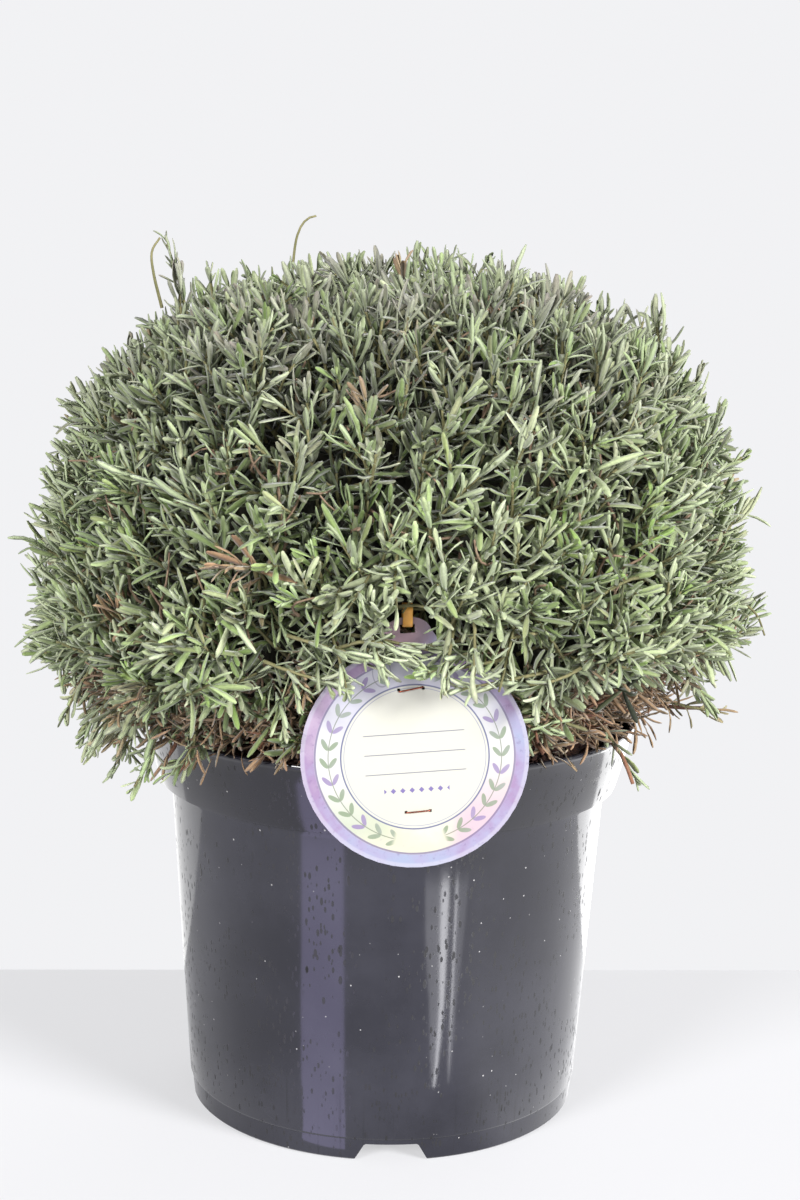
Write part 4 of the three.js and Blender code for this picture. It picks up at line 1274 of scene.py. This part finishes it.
def pale_floor():
    """A cloudy floor that glows a little; past the table's back edge it is as bright as the backdrop."""
    mesh = turned("pale_floor", [(0, -0.4), (20000, -0.4)], 96)
    finish = Finish("pale floor", {"Roughness": 0.9, "Specular IOR Level": 0.0, **GLOWING})
    behind = finish.parts_of(finish.place())[1].step(0.165, 0.1665)
    cloudy = finish.mix(tone(150, 150, 152), tone(147, 147, 150), finish.noise(3.0))
    colour = finish.mix(cloudy, (0, 0, 0), behind)
    finish.dress(base_color=colour, emission_color=finish.mix(FLOOR_GLOW, BACKDROP, behind))
    mesh.materials.append(finish.material)
    put_in_scene("pale_floor", mesh)


def backdrop():
    """As bright as it looks, but it gives less light than that: the lamps give the rest."""
    world = bpy.data.worlds.new("studio")
    bpy.context.scene.world = world
    world.use_nodes = True
    tree = world.node_tree
    back = tree.nodes["Background"]
    back.inputs["Color"].default_value = (*BACKDROP, 1)
    path, dimming = tree.nodes.new("ShaderNodeLightPath"), tree.nodes.new("ShaderNodeMapRange")
    dimming.inputs["To Min"].default_value, dimming.inputs["To Max"].default_value = 1.0, 0.36
    tree.links.new(path.outputs["Is Diffuse Ray"], dimming.inputs["Value"])
    tree.links.new(dimming.outputs[0], back.inputs["Strength"])


# Cards that lie on the floor, for the pot's reflections: height, places, light and perhaps a fade.
FLOOR_CARDS = [
    ("left_strip", 0.4, [(-51, -96), (-25, -103), (-90, -243), (-190, -460), (-340, -360), (-163, -192)],
     (2.2, 2.05, 3.05)),
    ("right_glow", 0.2, [(0, -104), (104, 0), (104, 165), (700, 165), (700, -500), (180, -500)],
     (1.5, 1.5, 1.52), (22, 42)),
    ("streak", 0.4, [(48, -155.5), (49.7, -154.8), (105, -236), (186, -372), (161, -382), (97, -240)],
     (12, 12, 12.4)),
    ("streak_glow", 0.4, [(47.6, -156), (97, -240), (161, -382), (108, -402), (78, -248)], (3, 3, 3.1)),
    ("fine_streak", 0.4, [(66, -151), (121.5, -227.4), (211, -358.5), (203, -363.5), (118, -230)],
     (11, 11, 11.4)),
    ("fine_glow", 0.4, [(68, -153), (130, -225), (248, -338), (211, -358.5), (121.5, -227.4)],
     (2.6, 2.6, 2.7)),
]


def set_stage():
    pale_floor()
    backdrop()
    soft_sun("key_left", bearing=-42, height=20, strength=3.8, spread=22)
    soft_sun("key_right", bearing=49, height=20, strength=5.8, spread=22)
    soft_sun("back", bearing=150, height=38, strength=0.5, spread=40)
    for name, height, places, light, *fade in FLOOR_CARDS:
        light_card(name, [(x, y, height) for x, y in places], light, *fade)
    for name, near, far, light in (("right_side", 104, 700, 4.2), ("left_side", -104, -700, 1.6)):
        light_card(name, [(near, 167, 0), (far, 167, 0), (far, 167, 260), (near, 167, 260)], (light,) * 3)


def set_camera():
    camera = bpy.data.cameras.new("camera")
    camera.sensor_fit, camera.sensor_height, camera.lens = "VERTICAL", 24.0, 43.0
    camera.clip_start, camera.clip_end = 0.05, 60
    pitch, yaw, roll = map(math.radians, CAMERA_ANGLES)
    ahead = Vector((math.sin(yaw) * math.cos(pitch), math.cos(yaw) * math.cos(pitch), -math.sin(pitch)))
    level = Vector((math.cos(yaw), -math.sin(yaw), 0))
    above = level.cross(ahead)
    right = level * math.cos(roll) + above * math.sin(roll)
    up = above * math.cos(roll) - level * math.sin(roll)
    seen = put_in_scene("camera", camera)
    seen.matrix_world = Matrix.Translation(CAMERA_PLACE) @ Matrix((right, up, -ahead)).transposed().to_4x4()
    bpy.context.scene.camera = seen


FINISHES = {
    "leaf": leaf_finish(),
    "stem": wood_finish("green stem", tone(88, 88, 52), tone(128, 122, 86)),
    "twig": wood_finish("purple twig", tone(92, 72, 58), tone(146, 124, 102)),
    "wood": wood_finish("brown twig", tone(66, 40, 30), tone(142, 98, 74)),
    # Painted shade: the finish of the dark sheet inside the dome.
    "inside": wood_finish("painted shade inside", tone(22, 22, 14), tone(40, 36, 24)),
    "peat": peat_finish(),
    "pot": pot_finish(),
    "card": card_finish(),
    "strap": plain_finish("orange strap", tone(240, 176, 84), tone(226, 142, 52), 160.0, {"Roughness": 0.38}),
    "wire": plain_finish(
        "coppery wire", tone(150, 84, 66), tone(84, 46, 40), 900.0, {"Roughness": 0.3, "Metallic": 0.9}
    ),
}

set_stage()
set_camera()
make_pot()
make_soil(np.random.default_rng(11))
make_wood(np.random.default_rng(23))
make_thatch(np.random.default_rng(37))
make_painted_shade_inside()
make_foliage(np.random.default_rng(53))
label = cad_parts["label"]
label.data.materials.clear()
label.data.materials.append(FINISHES["card"].material)
make_staple("wire_label_staple_upper", 31.0, 0.14)
make_staple("wire_label_staple_lower", -25.0, 0.03)
make_tie()

bpy.context.scene.view_settings.view_transform = "Standard"
